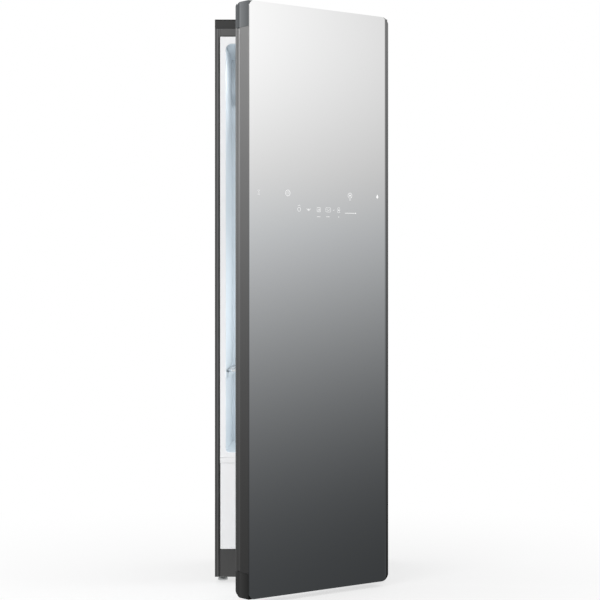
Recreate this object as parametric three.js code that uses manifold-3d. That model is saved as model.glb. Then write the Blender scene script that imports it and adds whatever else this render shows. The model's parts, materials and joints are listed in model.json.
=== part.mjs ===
// Clothes care steam cabinet with its door ajar: millimetres, Z up, the front faces -Y.
import * as THREE from "three";
import { mergeVertices } from "three/addons/utils/BufferGeometryUtils.js";
import Module from "manifold-3d";

const wasm = await Module();
wasm.setup();

// Outer sizes of the cabinet, its door shut.
const cabinetWidth = 600;
const cabinetHeight = 1960;
const cabinetDepth = 520;
const footHeight = 19;

// Clearances shared by every sub-part.
const seam = 0.3;
const slideClearance = 0.5;
const overlap = 1;

// Outer shell.
const skin = 2;
const stileWidth = 18;
const stileDepth = 30;
const stileGroove = 1.5;
const stileGrooveShare = 0.75;
const topRailHeight = 31.5;
const headerRailHeight = 27.7;
const headerRailDepth = 20;
const plinthHeight = 96;
const plinthDepth = 22;
const basePanRise = 2;

// Power inlet in the back panel.
const inletSpot = [200, 76];
const inletWidth = 46;
const inletHeight = 34;
const inletDepth = 24;
const inletWall = 4;

// Cavity and its liner.
const linerThickness = 2.5;
const foamThickness = 15;
const flangeThickness = 3;
const flangeInset = 1;
const flangeWidth = 20;
const flangeRadius = 22;
const flangeLowRadius = 12;
const cavityFloor = 452;
const flangeTopWidth = 24.5;
const cavityDepth = 458;
const sillHeight = 18;
const serviceHeaderHeight = 18;
const ledgeReach = 9;
const ledgeDrop = 20;
const ledgeFront = 60;
const ledgeBack = 430;
const shelfHeight = 729;

// Door, drawn shut and then turned about its pivot.
const doorAngle = 38.9;
const doorThickness = 70;
const doorGap = 8;
const doorBottom = 18;
const doorTopDrop = 5;
const doorHingeInset = 2.5;
const glassThickness = 4;
const glassRadius = 20;
const doorCapHeight = 83;
const doorCapRadius = 20;
const doorRailWidth = 36;
const gripDepth = 12;
const gripLip = 1.2;
const gripWidth = 17.5;
const gripSlopeRise = 3;
const gripSlopeShare = 0.75;
const trimWidth = 10.5;
const trimThickness = 2.5;
const trimCornerWidth = 24;
const doorLinerThickness = 15;
const doorCoreThickness = 26;
const pivotInset = 11;
const pivotDepth = 10.5;
const hingeRecess = 12;
const hingeRecessLength = 92;
const gasketWidth = 14;
const gasketThickness = 6;

// Touch electronics behind the glass.
const boardWidth = 260;
const boardDrop = 605;
const boardHeight = 100;
const boardThickness = 4;

// Hinge brackets.
const pinRadius = 4;
const pinClearance = 0.05;
const pinReach = 30;
const bracketThickness = 5;
const bracketWidth = 12;
const bracketFlange = 4;
const bracketFlangeLength = 60;
const bracketFlangeHeight = 18;

// Trouser press on the door's inner face.
const pressWidth = 280;
const pressTopDrop = 396;
const pressBottom = 720;
const pressCentre = -30;
const pressBaseThickness = 11;
const pressCoverThickness = 14;
const pressCornerRadius = 26;
const pressKnuckleRadius = 5;
const pressGripReach = 10;

// Moving hanger bar and its crank drive.
const barRadius = 9;
const barLength = 440;
const barDepth = 235;
const barDrop = 76;
const barArmRadius = 7;
const barArmSpacing = 240;
const barTravel = 12;
const yokeLength = 300;
const yokeWidth = 60;
const yokeThickness = 6;
const yokeRise = 6;
const crankRadius = 15;
const crankPinRadius = 5;
const crankSlotClearance = 0.85;
const crankDiscRadius = 24;
const crankDiscThickness = 8;
const crankPinLength = 10;
const motorRadius = 26;
const motorHeight = 34;
const motorPlateThickness = 4;
const motorPlateDepth = 150;
const motorPlateWidth = 60;
const motorLeg = 10;

// Clothes hangers.
const hangerReach = 188;
const hangerWire = 2.2;
const hangerNeck = 34;
const hangerDrop = 74;
const hangerThickness = 12;
const hangerArm = 24;
const hangerTip = 15;
const hangerSpots = [-130, 40];
const bowShare = 0.55;
const bowDropShare = 0.4;
const slopeShare = 0.4;
const slopeDropShare = 0.5;
const tipBulgeShare = 1.02;
const shoulderShare = 0.96;
const shoulderRiseShare = 0.3;
const neckShares = [[0.5, 1.1], [0, 1.9]];

// Cavity fittings.
const shelfThickness = 12;
const shelfBorder = 16;
const shelfBars = 9;
const shelfBarShare = 0.4;
const lightLength = 300;
const lightWidth = 26;
const lightThickness = 8;
const lightFront = 24;
const grilleLength = 400;
const grilleWidth = 70;
const grilleThickness = 3;
const grilleFront = 34;
const grilleSlots = 5;
const grilleSlotShare = 0.5;
const grilleBorder = 8;
const filterDepth = 140;
const filterWidth = 26;
const filterFlange = 5;
const filterFlangeThickness = 3;
const filterHandle = 16;
const filterHandleThickness = 6;
const lintLength = 170;
const lintDrop = 54;
const lintCentre = -110;
const aromaLength = 74;
const aromaDrop = 44;
const aromaCentre = 110;
const nozzleRadius = 34;
const nozzleHeight = 26;
const nozzlePipeRadius = 11;
const nozzleCentre = [150, 415];
const nozzleShares = [[1, 0.35], [0.8, 0.8], [0.4, 1]];

// Water tanks at the foot of the cabinet.
const tankFrontWidth = 165;
const tankFrontGap = 1.5;
const tankFrontThickness = 11;
const tankWidth = 144;
const tankInset = 18;
const tankDepth = 166;
const tankHeight = 225;
const tankWall = 3;
const tankScoopRadius = 30;
const tankScoopRise = 9;
const tankLidThickness = 6;
const tankCapRadius = 21;
const tankCapHeight = 14;
const tankCapShare = 0.4;
const serviceSideMargin = 1;
const serviceTopMargin = 1;
const bayPlate = 2.5;
const bayDepth = 190;
const louvreCount = 7;
const louvreHeight = 5;
const louvrePitch = 14;
const louvreMargin = 34;
const louvreBottomMargin = 60;

// Machine compartment behind the tanks.
const compressorRadius = 62;
const compressorHeight = 150;
const compressorDome = 26;
const compressorSpot = [-200, 330];
const potFootShare = 0.8;
const potCrownShare = 0.75;
const potCrownDropShare = 0.3;
const compressorPlate = 130;
const machinePlate = 4;
const exchangerWidth = 116;
const exchangerDepth = 60;
const exchangerHeight = 190;
const exchangerSpine = 8;
const exchangerFins = 12;
const exchangerFinShare = 0.4;
const condenserSpot = [-96, 250];
const evaporatorSpot = [40, 250];
const blowerRadius = 76;
const blowerLength = 84;
const blowerWall = 3;
const blowerInlet = 46;
const blowerCentre = [150, 70, 300];
const blowerDuct = 52;
const impellerRadius = 62;
const impellerLength = 62;
const impellerHub = 18;
const impellerBlades = 12;
const impellerBladeThickness = 3;
const impellerBladeShare = 0.7;
const generatorSize = [130, 110, 110];
const generatorSpot = [85, 370];
const generatorStub = 16;
const controlSize = [170, 130, 140];
const controlFrontDepth = 270;
const controlFloorHeight = 240;
const controlLip = 6;

// Levelling feet.
const footRadius = 17.5;
const footDisc = 10;
const footStemRadius = 6;
const footStemClearance = 0.4;
const footStemHeight = 48;
const footRimShare = 0.7;
const footTopShare = 0.8;
const footInsetSide = 25;
const footInsetFront = 26;
const footInsetBack = 40;

const roundSegments = 32;
const filletSegments = 6;

const colours = {
  stile: [0x5d5d5e, 0.42, 0.6],
  topRail: [0x4b4b4c, 0.5, 0.5],
  steel: [0x6a6b6c, 0.4, 0.7],
  white: [0xf2f3f5, 0.45, 0],
  whiteTrim: [0xe9eaec, 0.4, 0],
  foam: [0xe4e0cf, 0.9, 0],
  glass: [0x9a9b9d, 0.08, 0.9],
  doorSide: [0x757678, 0.35, 0.8],
  doorCap: [0x55575a, 0.4, 0.6],
  gasket: [0x9fa2a5, 0.8, 0],
  chrome: [0xc9cbcd, 0.18, 1],
  darkPlastic: [0x34363a, 0.6, 0],
  press: [0xdfe2e6, 0.6, 0],
  hanger: [0xf4f4f2, 0.35, 0],
  lamp: [0xfbfaf2, 0.3, 0],
  tank: [0xdfe9ee, 0.25, 0],
  tankCap: [0x6d8da3, 0.5, 0],
  board: [0x2f5a3c, 0.6, 0.1],
  copper: [0xa8a9aa, 0.35, 0.9],
  machine: [0x2c2d30, 0.45, 0.5],
};

const halfWidth = cabinetWidth / 2;
const openingHalf = halfWidth - stileWidth - flangeWidth;
const flangeHalf = halfWidth - stileWidth - seam;
const railBottom = cabinetHeight - topRailHeight;
const headerBottom = railBottom - headerRailHeight;
const cavityCeiling = headerBottom - seam - flangeTopWidth;
const barHeight = cavityCeiling - barDrop;
const plinthTop = footHeight + plinthHeight;
const flangeBottom = cavityFloor - sillHeight;
const linerOuter = openingHalf + linerThickness;
const linerFront = flangeInset + flangeThickness + seam;
const linerBack = linerFront + cavityDepth;
const serviceTop = flangeBottom - serviceHeaderHeight - serviceTopMargin;
const serviceBottom = plinthTop + serviceTopMargin;
const doorRight = halfWidth - doorHingeInset;
const doorFront = -doorGap - doorThickness;
const doorBack = -doorGap;
const doorTop = cabinetHeight - doorTopDrop;
const pivot = [doorRight - pivotInset, doorFront + pivotDepth];
const doorRailInner = doorRailWidth + seam;

// The door group turns about the hinge pins, and what it holds is drawn with the door shut.
const cabinet = new THREE.Group();
const doorTurn = new THREE.Group();
doorTurn.position.set(pivot[0], pivot[1], 0);
doorTurn.rotation.z = THREE.MathUtils.degToRad(doorAngle);
const door = new THREE.Group();
door.position.set(-pivot[0], -pivot[1], 0);
doorTurn.add(door);
cabinet.add(doorTurn);

// Adds one named piece with its own finish to the cabinet or the door.
function add(name, finish, geometry, group = cabinet) {
  const [color, roughness, metalness] = colours[finish];
  const material = new THREE.MeshStandardMaterial({ color, roughness, metalness });
  const mesh = new THREE.Mesh(geometry, material);
  mesh.name = name;
  group.add(mesh);
}

// A box between two opposite corners.
function block(low, high) {
  const size = high.map((value, i) => value - low[i]);
  const geometry = new THREE.BoxGeometry(...size);
  geometry.translate(...low.map((value, i) => value + size[i] / 2));
  return geometry;
}

// A flat outline from corner points.
function outline(points) {
  return new THREE.Shape(points.map(([x, y]) => new THREE.Vector2(x, y)));
}

// A rectangle with rounded corners, as a shape or as a hole.
function roundedRect(x0, y0, x1, y1, radii, Kind = THREE.Shape) {
  const [a, b, c, d] = Array.isArray(radii) ? radii : [radii, radii, radii, radii];
  const path = new Kind();
  path.moveTo(x0 + a, y0);
  path.lineTo(x1 - b, y0);
  if (b) path.absarc(x1 - b, y0 + b, b, -Math.PI / 2, 0);
  path.lineTo(x1, y1 - c);
  if (c) path.absarc(x1 - c, y1 - c, c, 0, Math.PI / 2);
  path.lineTo(x0 + d, y1);
  if (d) path.absarc(x0 + d, y1 - d, d, Math.PI / 2, Math.PI);
  path.lineTo(x0, y0 + a);
  if (a) path.absarc(x0 + a, y0 + a, a, Math.PI, Math.PI * 1.5);
  return path;
}

// A shape drawn in XY and extruded up from one height to another, then pierced by its holes.
function upright(shape, z0, z1, curveSegments = filletSegments) {
  const prism = (path, low, high) => {
    const plan = new THREE.Shape(path.getPoints(curveSegments));
    const options = { depth: high - low, bevelEnabled: false };
    return new THREE.ExtrudeGeometry(plan, options).translate(0, 0, low);
  };
  const solid = prism(shape, z0, z1);
  if (!shape.holes.length) return solid;
  return cut(solid, ...shape.holes.map((hole) => prism(hole, z0 - overlap, z1 + overlap)));
}

// A shape drawn in XZ and extruded back from y0 to y1.
function facing(shape, y0, y1, curveSegments = filletSegments) {
  const geometry = upright(shape, 0, y1 - y0, curveSegments);
  return geometry.rotateX(Math.PI / 2).translate(0, y1, 0);
}

// A shape drawn in YZ and extruded sideways from x0 to x1.
function sideways(shape, x0, x1, curveSegments = filletSegments) {
  const geometry = upright(shape, 0, x1 - x0, curveSegments);
  return geometry.rotateX(Math.PI / 2).rotateZ(Math.PI / 2).translate(x0, 0, 0);
}

// A cylinder along Z, standing on a height.
function rod(x, y, z0, z1, radius, segments = roundSegments) {
  const geometry = new THREE.CylinderGeometry(radius, radius, z1 - z0, segments);
  return geometry.rotateX(Math.PI / 2).translate(x, y, (z0 + z1) / 2);
}

function solidOf(geometry) {
  const bare = new THREE.BufferGeometry();
  const source = geometry.index ? geometry.toNonIndexed() : geometry;
  bare.setAttribute("position", source.getAttribute("position"));
  const merged = mergeVertices(bare, 1e-3);
  const mesh = new wasm.Mesh({
    numProp: 3,
    vertProperties: merged.attributes.position.array,
    triVerts: new Uint32Array(merged.index.array),
  });
  return new wasm.Manifold(mesh);
}

function geometryOf(solid) {
  const mesh = solid.getMesh();
  const geometry = new THREE.BufferGeometry();
  geometry.setAttribute("position", new THREE.BufferAttribute(mesh.vertProperties, 3));
  geometry.setIndex(new THREE.BufferAttribute(mesh.triVerts, 1));
  const flat = geometry.toNonIndexed();
  flat.computeVertexNormals();
  return flat;
}

function join(...geometries) {
  const solids = geometries.map(solidOf);
  return geometryOf(solids.reduce((sum, solid) => sum.add(solid)));
}

function cut(geometry, ...tools) {
  const solids = tools.map(solidOf);
  return geometryOf(solids.reduce((rest, tool) => rest.subtract(tool), solidOf(geometry)));
}

function common(first, second) {
  return geometryOf(solidOf(first).intersect(solidOf(second)));
}

function addShell() {
  const sideFront = stileDepth + seam;
  const sideBack = cabinetDepth - skin - seam;
  const sideTop = cabinetHeight - skin - seam;
  for (const [side, name] of [[-1, "left"], [1, "right"]]) {
    const outer = side * halfWidth;
    const inner = side * (halfWidth - skin);
    const lowX = Math.min(outer, inner);
    const highX = Math.max(outer, inner);
    const panel = block([lowX, sideFront, footHeight], [highX, sideBack, sideTop]);
    add(`side_panel_${name}`, "steel", panel);
    const groove = side * (halfWidth - stileWidth * stileGrooveShare);
    const face = side * (halfWidth - stileWidth);
    const profile = [
      [outer, stileGroove],
      [outer - side * stileGroove, 0],
      [groove + side * stileGroove, 0],
      [groove, stileGroove],
      [groove - side * stileGroove, stileGroove],
      [face, stileGroove],
      [face, stileDepth],
      [outer, stileDepth],
    ];
    if (side > 0) profile.reverse();
    const stile = upright(outline(profile), footHeight, railBottom - seam);
    add(`stile_${name}`, "stile", stile);
  }
  const top = block(
    [-halfWidth, sideFront, cabinetHeight - skin],
    [halfWidth, cabinetDepth, cabinetHeight],
  );
  add("top_panel", "steel", top);
  const back = roundedRect(-halfWidth, footHeight, halfWidth, cabinetHeight - skin - seam, 0);
  const [inletX, inletZ] = inletSpot;
  const holeX = inletWidth / 2 + seam;
  const holeZ = inletHeight / 2 + seam;
  back.holes.push(roundedRect(inletX - holeX, inletZ - holeZ, inletX + holeX, inletZ + holeZ, 0, THREE.Path));
  add("back_panel", "steel", facing(back, cabinetDepth - skin, cabinetDepth));
  const inletFront = cabinetDepth - inletDepth;
  const inlet = cut(
    block(
      [inletX - inletWidth / 2, inletFront, inletZ - inletHeight / 2],
      [inletX + inletWidth / 2, cabinetDepth, inletZ + inletHeight / 2],
    ),
    block(
      [inletX - inletWidth / 2 + inletWall, inletFront + inletWall, inletZ - inletHeight / 2 + inletWall],
      [inletX + inletWidth / 2 - inletWall, cabinetDepth + overlap, inletZ + inletHeight / 2 - inletWall],
    ),
  );
  add("power_inlet", "darkPlastic", inlet);
  const railProfile = roundedRect(0, railBottom, stileDepth, cabinetHeight, [0, 0, 0, skin]);
  add("top_rail", "topRail", sideways(railProfile, -halfWidth, halfWidth));
  const header = block(
    [-flangeHalf, 0, headerBottom],
    [flangeHalf, headerRailDepth, railBottom - seam],
  );
  add("header_rail", "stile", header);
  const plinth = block([-flangeHalf, 0, footHeight], [flangeHalf, plinthDepth, plinthTop]);
  add("plinth", "topRail", plinth);
}

function footSpots() {
  const x = halfWidth - footInsetSide;
  const backY = cabinetDepth - footInsetBack;
  return {
    foot_front_left: [-x, footInsetFront + stileDepth],
    foot_front_right: [x, footInsetFront + stileDepth],
    foot_back_left: [-x, backY],
    foot_back_right: [x, backY],
  };
}

function addBaseAndFeet() {
  const inner = halfWidth - skin - seam;
  const backY = cabinetDepth - skin - seam;
  const pan = roundedRect(-inner, stileDepth + seam, inner, backY, 0);
  for (const [x, y] of Object.values(footSpots())) {
    const hole = new THREE.Path();
    hole.absarc(x, y, footStemRadius + footStemClearance, 0, Math.PI * 2);
    pan.holes.push(hole);
  }
  const panGeometry = upright(pan, footHeight, footHeight + basePanRise, roundSegments);
  add("base_pan", "steel", panGeometry);
  for (const [name, [x, y]] of Object.entries(footSpots())) {
    const profile = [
      [0, 0],
      [footRadius, 0],
      [footRadius, footDisc * footRimShare],
      [footRadius * footTopShare, footDisc],
      [footStemRadius, footDisc],
      [footStemRadius, footStemHeight],
      [0, footStemHeight],
    ];
    add(name, "chrome", turned(profile, x, y, 0));
  }
}

// A lathe profile of [radius, height] pairs that starts and ends on the axis.
function turned(profile, x, y, z, segments = roundSegments) {
  const points = profile.map(([radius, height]) => new THREE.Vector2(radius, height));
  const geometry = new THREE.LatheGeometry(points, segments);
  return geometry.rotateX(Math.PI / 2).translate(x, y, z);
}

function addLiner() {
  const low = cavityFloor - linerThickness;
  const high = cavityCeiling + linerThickness;
  for (const [side, name] of [[-1, "left"], [1, "right"]]) {
    const wall = block(
      [Math.min(side * openingHalf, side * linerOuter), linerFront, low],
      [Math.max(side * openingHalf, side * linerOuter), linerBack, high],
    );
    const reach = side * (openingHalf - ledgeReach);
    const ledge = block(
      [Math.min(reach, side * (openingHalf + overlap)), ledgeFront, shelfHeight - ledgeDrop],
      [Math.max(reach, side * (openingHalf + overlap)), ledgeBack, shelfHeight],
    );
    add(`liner_${name}`, "white", join(wall, ledge));
  }
  const back = block(
    [-linerOuter, linerBack + seam, low],
    [linerOuter, linerBack + seam + linerThickness, high],
  );
  add("liner_back", "white", back);

  const inner = openingHalf - seam;
  const ceiling = roundedRect(-inner, linerFront, inner, linerBack, 0);
  for (const side of [-1, 1]) {
    const centre = side * barArmSpacing / 2;
    const run = barTravel + barArmRadius + overlap;
    const wide = barArmRadius + overlap;
    const slot = roundedRect(
      centre - run, barDepth - wide, centre + run, barDepth + wide, wide, THREE.Path,
    );
    ceiling.holes.push(slot);
  }
  add("liner_ceiling", "white", upright(ceiling, cavityCeiling, high));

  const floor = roundedRect(-inner, linerFront, inner, linerBack, 0);
  const grilleInset = grilleBorder / 2;
  floor.holes.push(roundedRect(
    grilleInset - grilleLength / 2, grilleFront + grilleInset,
    grilleLength / 2 - grilleInset, grilleFront + grilleWidth - grilleInset, 0, THREE.Path,
  ));
  for (const [centre, length] of [[lintCentre, lintLength], [aromaCentre, aromaLength]]) {
    const halfLength = length / 2 + slideClearance;
    const halfSlot = filterWidth / 2 + slideClearance;
    floor.holes.push(roundedRect(
      centre - halfLength, filterDepth - halfSlot,
      centre + halfLength, filterDepth + halfSlot, 0, THREE.Path,
    ));
  }
  const pipeHole = new THREE.Path();
  pipeHole.absarc(...nozzleCentre, nozzlePipeRadius + slideClearance, 0, Math.PI * 2);
  floor.holes.push(pipeHole);
  add("liner_floor", "white", upright(floor, low, cavityFloor, roundSegments));

  const flange = roundedRect(-flangeHalf, flangeBottom, flangeHalf, headerBottom - seam, 0);
  flange.holes.push(roundedRect(
    -openingHalf, cavityFloor, openingHalf, cavityCeiling,
    [flangeLowRadius, flangeLowRadius, flangeRadius, flangeRadius], THREE.Path,
  ));
  const flangeBack = flangeInset + flangeThickness;
  add("front_flange", "white", facing(flange, flangeInset, flangeBack));

  const headerTop = flangeBottom - seam;
  const serviceHeader = block(
    [-flangeHalf, flangeInset, headerTop - serviceHeaderHeight],
    [flangeHalf, flangeInset + flangeThickness, headerTop],
  );
  add("service_header", "whiteTrim", serviceHeader);

  const foamInner = linerOuter + seam;
  const foamOuter = foamInner + foamThickness;
  const foamFront = stileDepth + seam;
  const foamStep = linerBack + linerThickness + seam * 2;
  const foamBack = foamStep + foamThickness;
  const foam = outline([
    [-foamOuter, foamFront],
    [-foamInner, foamFront],
    [-foamInner, foamStep],
    [foamInner, foamStep],
    [foamInner, foamFront],
    [foamOuter, foamFront],
    [foamOuter, foamBack],
    [-foamOuter, foamBack],
  ]);
  add("cabinet_insulation", "foam", upright(foam, low, high));
}

function addCavityFittings() {
  const lamp = block(
    [-lightLength / 2, lightFront, cavityCeiling - seam - lightThickness],
    [lightLength / 2, lightFront + lightWidth, cavityCeiling - seam],
  );
  add("cavity_light", "lamp", lamp);

  const grilleX = grilleLength / 2;
  const grille = roundedRect(-grilleX, grilleFront, grilleX, grilleFront + grilleWidth, grilleBorder);
  const openDepth = grilleWidth - grilleBorder * 2;
  const pitch = openDepth / grilleSlots;
  for (let i = 0; i < grilleSlots; i++) {
    const middle = grilleFront + grilleBorder + pitch * (i + 0.5);
    const half = pitch * grilleSlotShare / 2;
    grille.holes.push(roundedRect(
      grilleBorder - grilleX, middle - half, grilleX - grilleBorder, middle + half, 0, THREE.Path,
    ));
  }
  const grilleBase = cavityFloor + seam;
  add("return_grille", "whiteTrim", upright(grille, grilleBase, grilleBase + grilleThickness));

  addInsert("lint_filter", "darkPlastic", lintCentre, lintLength, lintDrop);
  addInsert("aroma_cartridge", "whiteTrim", aromaCentre, aromaLength, aromaDrop);

  const dome = [
    [0, 0],
    [nozzleRadius, 0],
    ...nozzleShares.map(([across, up]) => [nozzleRadius * across, nozzleHeight * up]),
    [0, nozzleHeight],
  ];
  const pipeBottom = generatorTop() + generatorStub + seam;
  const nozzle = join(
    turned(dome, ...nozzleCentre, cavityFloor + seam),
    rod(...nozzleCentre, pipeBottom, cavityFloor + overlap, nozzlePipeRadius),
  );
  add("steam_outlet", "darkPlastic", nozzle);

  const shelfX = openingHalf - slideClearance * 2;
  const shelf = roundedRect(-shelfX, ledgeFront, shelfX, ledgeBack, shelfBorder);
  const run = ledgeBack - ledgeFront - shelfBorder * 2;
  const shelfPitch = run / shelfBars;
  for (let i = 0; i < shelfBars; i++) {
    const middle = ledgeFront + shelfBorder + shelfPitch * (i + 0.5);
    const half = shelfPitch * (1 - shelfBarShare) / 2;
    shelf.holes.push(roundedRect(
      shelfBorder - shelfX, middle - half, shelfX - shelfBorder, middle + half, 0, THREE.Path,
    ));
  }
  const shelfBase = shelfHeight + seam;
  add("shelf", "chrome", upright(shelf, shelfBase, shelfBase + shelfThickness));
}

// A lift-out insert: a flange on the floor, a body below it and a grip above.
function addInsert(name, finish, centre, length, drop) {
  const base = cavityFloor + seam;
  const top = base + filterFlangeThickness;
  const flangeX = length / 2 + filterFlange;
  const flangeY = filterWidth / 2 + filterFlange;
  const flange = block(
    [centre - flangeX, filterDepth - flangeY, base],
    [centre + flangeX, filterDepth + flangeY, top],
  );
  const body = block(
    [centre - length / 2, filterDepth - filterWidth / 2, base - drop],
    [centre + length / 2, filterDepth + filterWidth / 2, base + overlap],
  );
  const arch = new THREE.Shape();
  arch.absarc(centre, top - overlap, filterHandle, 0, Math.PI);
  const handleY = filterDepth - filterHandleThickness / 2;
  const handle = facing(arch, handleY, handleY + filterHandleThickness, roundSegments / 2);
  add(name, finish, join(flange, body, handle));
}

function addHangerDrive() {
  const yokeBase = cavityCeiling + linerThickness + yokeRise;
  const yokeTop = yokeBase + yokeThickness;
  const yoke = roundedRect(
    -yokeLength / 2, barDepth - yokeWidth / 2, yokeLength / 2, barDepth + yokeWidth / 2, barArmRadius,
  );
  const slotX = crankPinRadius + crankSlotClearance;
  const slotY = crankRadius + crankPinRadius + slideClearance;
  yoke.holes.push(roundedRect(-slotX, barDepth - slotY, slotX, barDepth + slotY, 0, THREE.Path));
  const parts = [upright(yoke, yokeBase, yokeTop)];
  for (const side of [-1, 1])
    parts.push(rod(side * barArmSpacing / 2, barDepth, barHeight, yokeBase + overlap, barArmRadius));
  const bar = new THREE.CylinderGeometry(barRadius, barRadius, barLength, roundSegments);
  parts.push(bar.rotateZ(Math.PI / 2).translate(0, barDepth, barHeight));
  add("hanger_bar", "chrome", join(...parts));

  const discBase = yokeTop + slideClearance * 2;
  const discTop = discBase + crankDiscThickness;
  const pinY = barDepth - crankRadius;
  const crank = join(
    rod(0, barDepth, discBase, discTop, crankDiscRadius),
    rod(0, pinY, discBase - crankPinLength, discBase + overlap, crankPinRadius),
  );
  add("crank_disc", "chrome", crank);

  const plateBase = discTop + seam;
  const plateTop = plateBase + motorPlateThickness;
  const plateY = motorPlateDepth / 2;
  const plateX = motorPlateWidth / 2;
  const motor = [
    block([-plateX, barDepth - plateY, plateBase], [plateX, barDepth + plateY, plateTop]),
    rod(0, barDepth, plateTop - overlap, plateTop + motorHeight, motorRadius),
  ];
  const legBase = cavityCeiling + linerThickness + seam;
  for (const side of [-1, 1]) {
    const outer = barDepth + side * plateY;
    const inner = outer - side * motorLeg;
    motor.push(block(
      [-plateX, Math.min(outer, inner), legBase],
      [plateX, Math.max(outer, inner), plateBase + overlap],
    ));
  }
  add("drive_motor", "machine", join(...motor));
}

// One hanger drawn in YZ about the bar's own axis.
function addHangers() {
  const hookRadius = barRadius + hangerWire + seam;
  const shoulder = hookRadius + hangerNeck;
  hangerSpots.forEach((x, i) => {
    const points = [];
    for (let turn = -50; turn <= 200; turn += 25) {
      const angle = THREE.MathUtils.degToRad(turn);
      const y = barDepth - hookRadius * Math.cos(angle);
      points.push(new THREE.Vector3(x, y, barHeight + hookRadius * Math.sin(angle)));
    }
    for (const [sideShare, dropShare] of neckShares) {
      const y = barDepth + hookRadius * sideShare;
      points.push(new THREE.Vector3(x, y, barHeight - hookRadius * dropShare));
    }
    points.push(new THREE.Vector3(x, barDepth, barHeight - shoulder - overlap));
    const wire = new THREE.Shape();
    wire.absarc(0, 0, hangerWire, 0, Math.PI * 2);
    const hook = new THREE.ExtrudeGeometry(wire, {
      extrudePath: new THREE.CatmullRomCurve3(points),
      steps: roundSegments * 1.5,
      curveSegments: filletSegments,
    });
    const top = barHeight - shoulder;
    const tipTop = top - hangerDrop;
    const body = new THREE.Shape();
    const underZ = tipTop - hangerTip;
    const shoulderZ = tipTop + hangerTip * shoulderRiseShare;
    const bowZ = tipTop - hangerTip * bowDropShare;
    const slopeZ = top - hangerArm * slopeDropShare;
    const curve = (side, [nearShare, nearZ], [farShare, farZ]) => body.quadraticCurveTo(
      barDepth + side * hangerReach * nearShare, nearZ, barDepth + side * hangerReach * farShare, farZ,
    );
    body.moveTo(barDepth - hangerReach, underZ);
    curve(-1, [bowShare, bowZ], [0, top - hangerArm * 2]);
    curve(1, [bowShare, bowZ], [1, underZ]);
    curve(1, [tipBulgeShare, tipTop], [shoulderShare, shoulderZ]);
    body.quadraticCurveTo(
      barDepth + hangerReach * slopeShare, slopeZ, barDepth + hangerWire * 2, top,
    );
    body.lineTo(barDepth - hangerWire * 2, top);
    curve(-1, [slopeShare, slopeZ], [shoulderShare, shoulderZ]);
    curve(-1, [tipBulgeShare, tipTop], [1, underZ]);
    const half = hangerThickness / 2;
    add(`hanger_${i + 1}`, "hanger", join(hook, sideways(body, x - half, x + half, 8)));
  });
}

function tankLeft(index) {
  return -flangeHalf + serviceSideMargin + index * (tankFrontWidth + tankFrontGap);
}

function addTanks() {
  const bayLow = plinthTop + seam;
  const bayFloorTop = bayLow + bayPlate;
  const low = bayFloorTop + seam;
  const frontBack = flangeInset + tankFrontThickness;
  ["supply_tank", "drain_tank"].forEach((name, i) => {
    const left = tankLeft(i);
    const right = left + tankFrontWidth;
    const x0 = left + tankInset;
    const x1 = x0 + tankWidth;
    const y1 = frontBack + tankDepth;
    const high = low + tankHeight;
    const front = block([left, flangeInset, serviceBottom], [right, frontBack, serviceTop]);
    const vessel = block([x0, frontBack - overlap, low], [x1, y1, high]);
    const hollow = block(
      [x0 + tankWall, frontBack + tankWall, low + tankWall],
      [x1 - tankWall, y1 - tankWall, high + overlap],
    );
    const scoop = rod((left + right) / 2, 0, 0, tankFrontThickness * 3, tankScoopRadius);
    scoop.rotateX(Math.PI / 2).translate(0, tankFrontThickness * 2, serviceTop + tankScoopRise);
    add(name, "tank", cut(join(front, vessel), hollow, scoop));
    const lidBase = high + seam;
    const lid = join(
      block([x0, frontBack + seam, lidBase], [x1, y1, lidBase + tankLidThickness]),
      rod(
        (x0 + x1) / 2, frontBack + tankDepth * tankCapShare,
        lidBase + tankLidThickness - overlap, lidBase + tankLidThickness + tankCapHeight, tankCapRadius,
      ),
    );
    add(`${name}_lid`, "tankCap", lid);
  });

  const bayRight = tankLeft(2);
  const bayFront = frontBack + seam;
  const bayBack = bayDepth + bayPlate;
  const wallRight = bayRight + bayPlate;
  const bay = join(
    block([-linerOuter, bayFront, bayLow], [wallRight, bayBack, bayFloorTop]),
    block([-linerOuter, bayDepth, bayLow], [wallRight, bayBack, serviceTop]),
    block([bayRight, bayFront, bayLow], [wallRight, bayBack, serviceTop]),
  );
  add("tank_bay", "steel", bay);

  const coverRight = flangeHalf;
  const cover = roundedRect(bayRight, serviceBottom, coverRight, serviceTop, 0);
  for (let i = 0; i < louvreCount; i++) {
    const z = serviceBottom + louvreBottomMargin + i * louvrePitch;
    cover.holes.push(roundedRect(
      bayRight + louvreMargin, z, coverRight - louvreMargin, z + louvreHeight, louvreHeight / 2, THREE.Path,
    ));
  }
  const coverBack = flangeInset + flangeThickness;
  add("service_cover", "whiteTrim", facing(cover, flangeInset, coverBack, 3));
}

function machineBase() {
  return footHeight + basePanRise + seam;
}

function generatorTop() {
  return machineBase() + generatorSize[2];
}

// A finned block: one spine with upright fins on its rear side.
function finnedBlock([x, y]) {
  const points = [[x, y], [x + exchangerWidth, y]];
  const pitch = exchangerWidth / exchangerFins;
  const fin = pitch * exchangerFinShare;
  const spineBack = y + exchangerSpine;
  const finBack = y + exchangerDepth;
  for (let i = exchangerFins - 1; i >= 0; i--) {
    const right = i === exchangerFins - 1 ? x + exchangerWidth : x + i * pitch + fin;
    const left = right - fin;
    if (i < exchangerFins - 1) points.push([right, spineBack]);
    points.push([right, finBack], [left, finBack]);
    if (i > 0) points.push([left, spineBack]);
  }
  return upright(outline(points), machineBase(), machineBase() + exchangerHeight);
}

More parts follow.
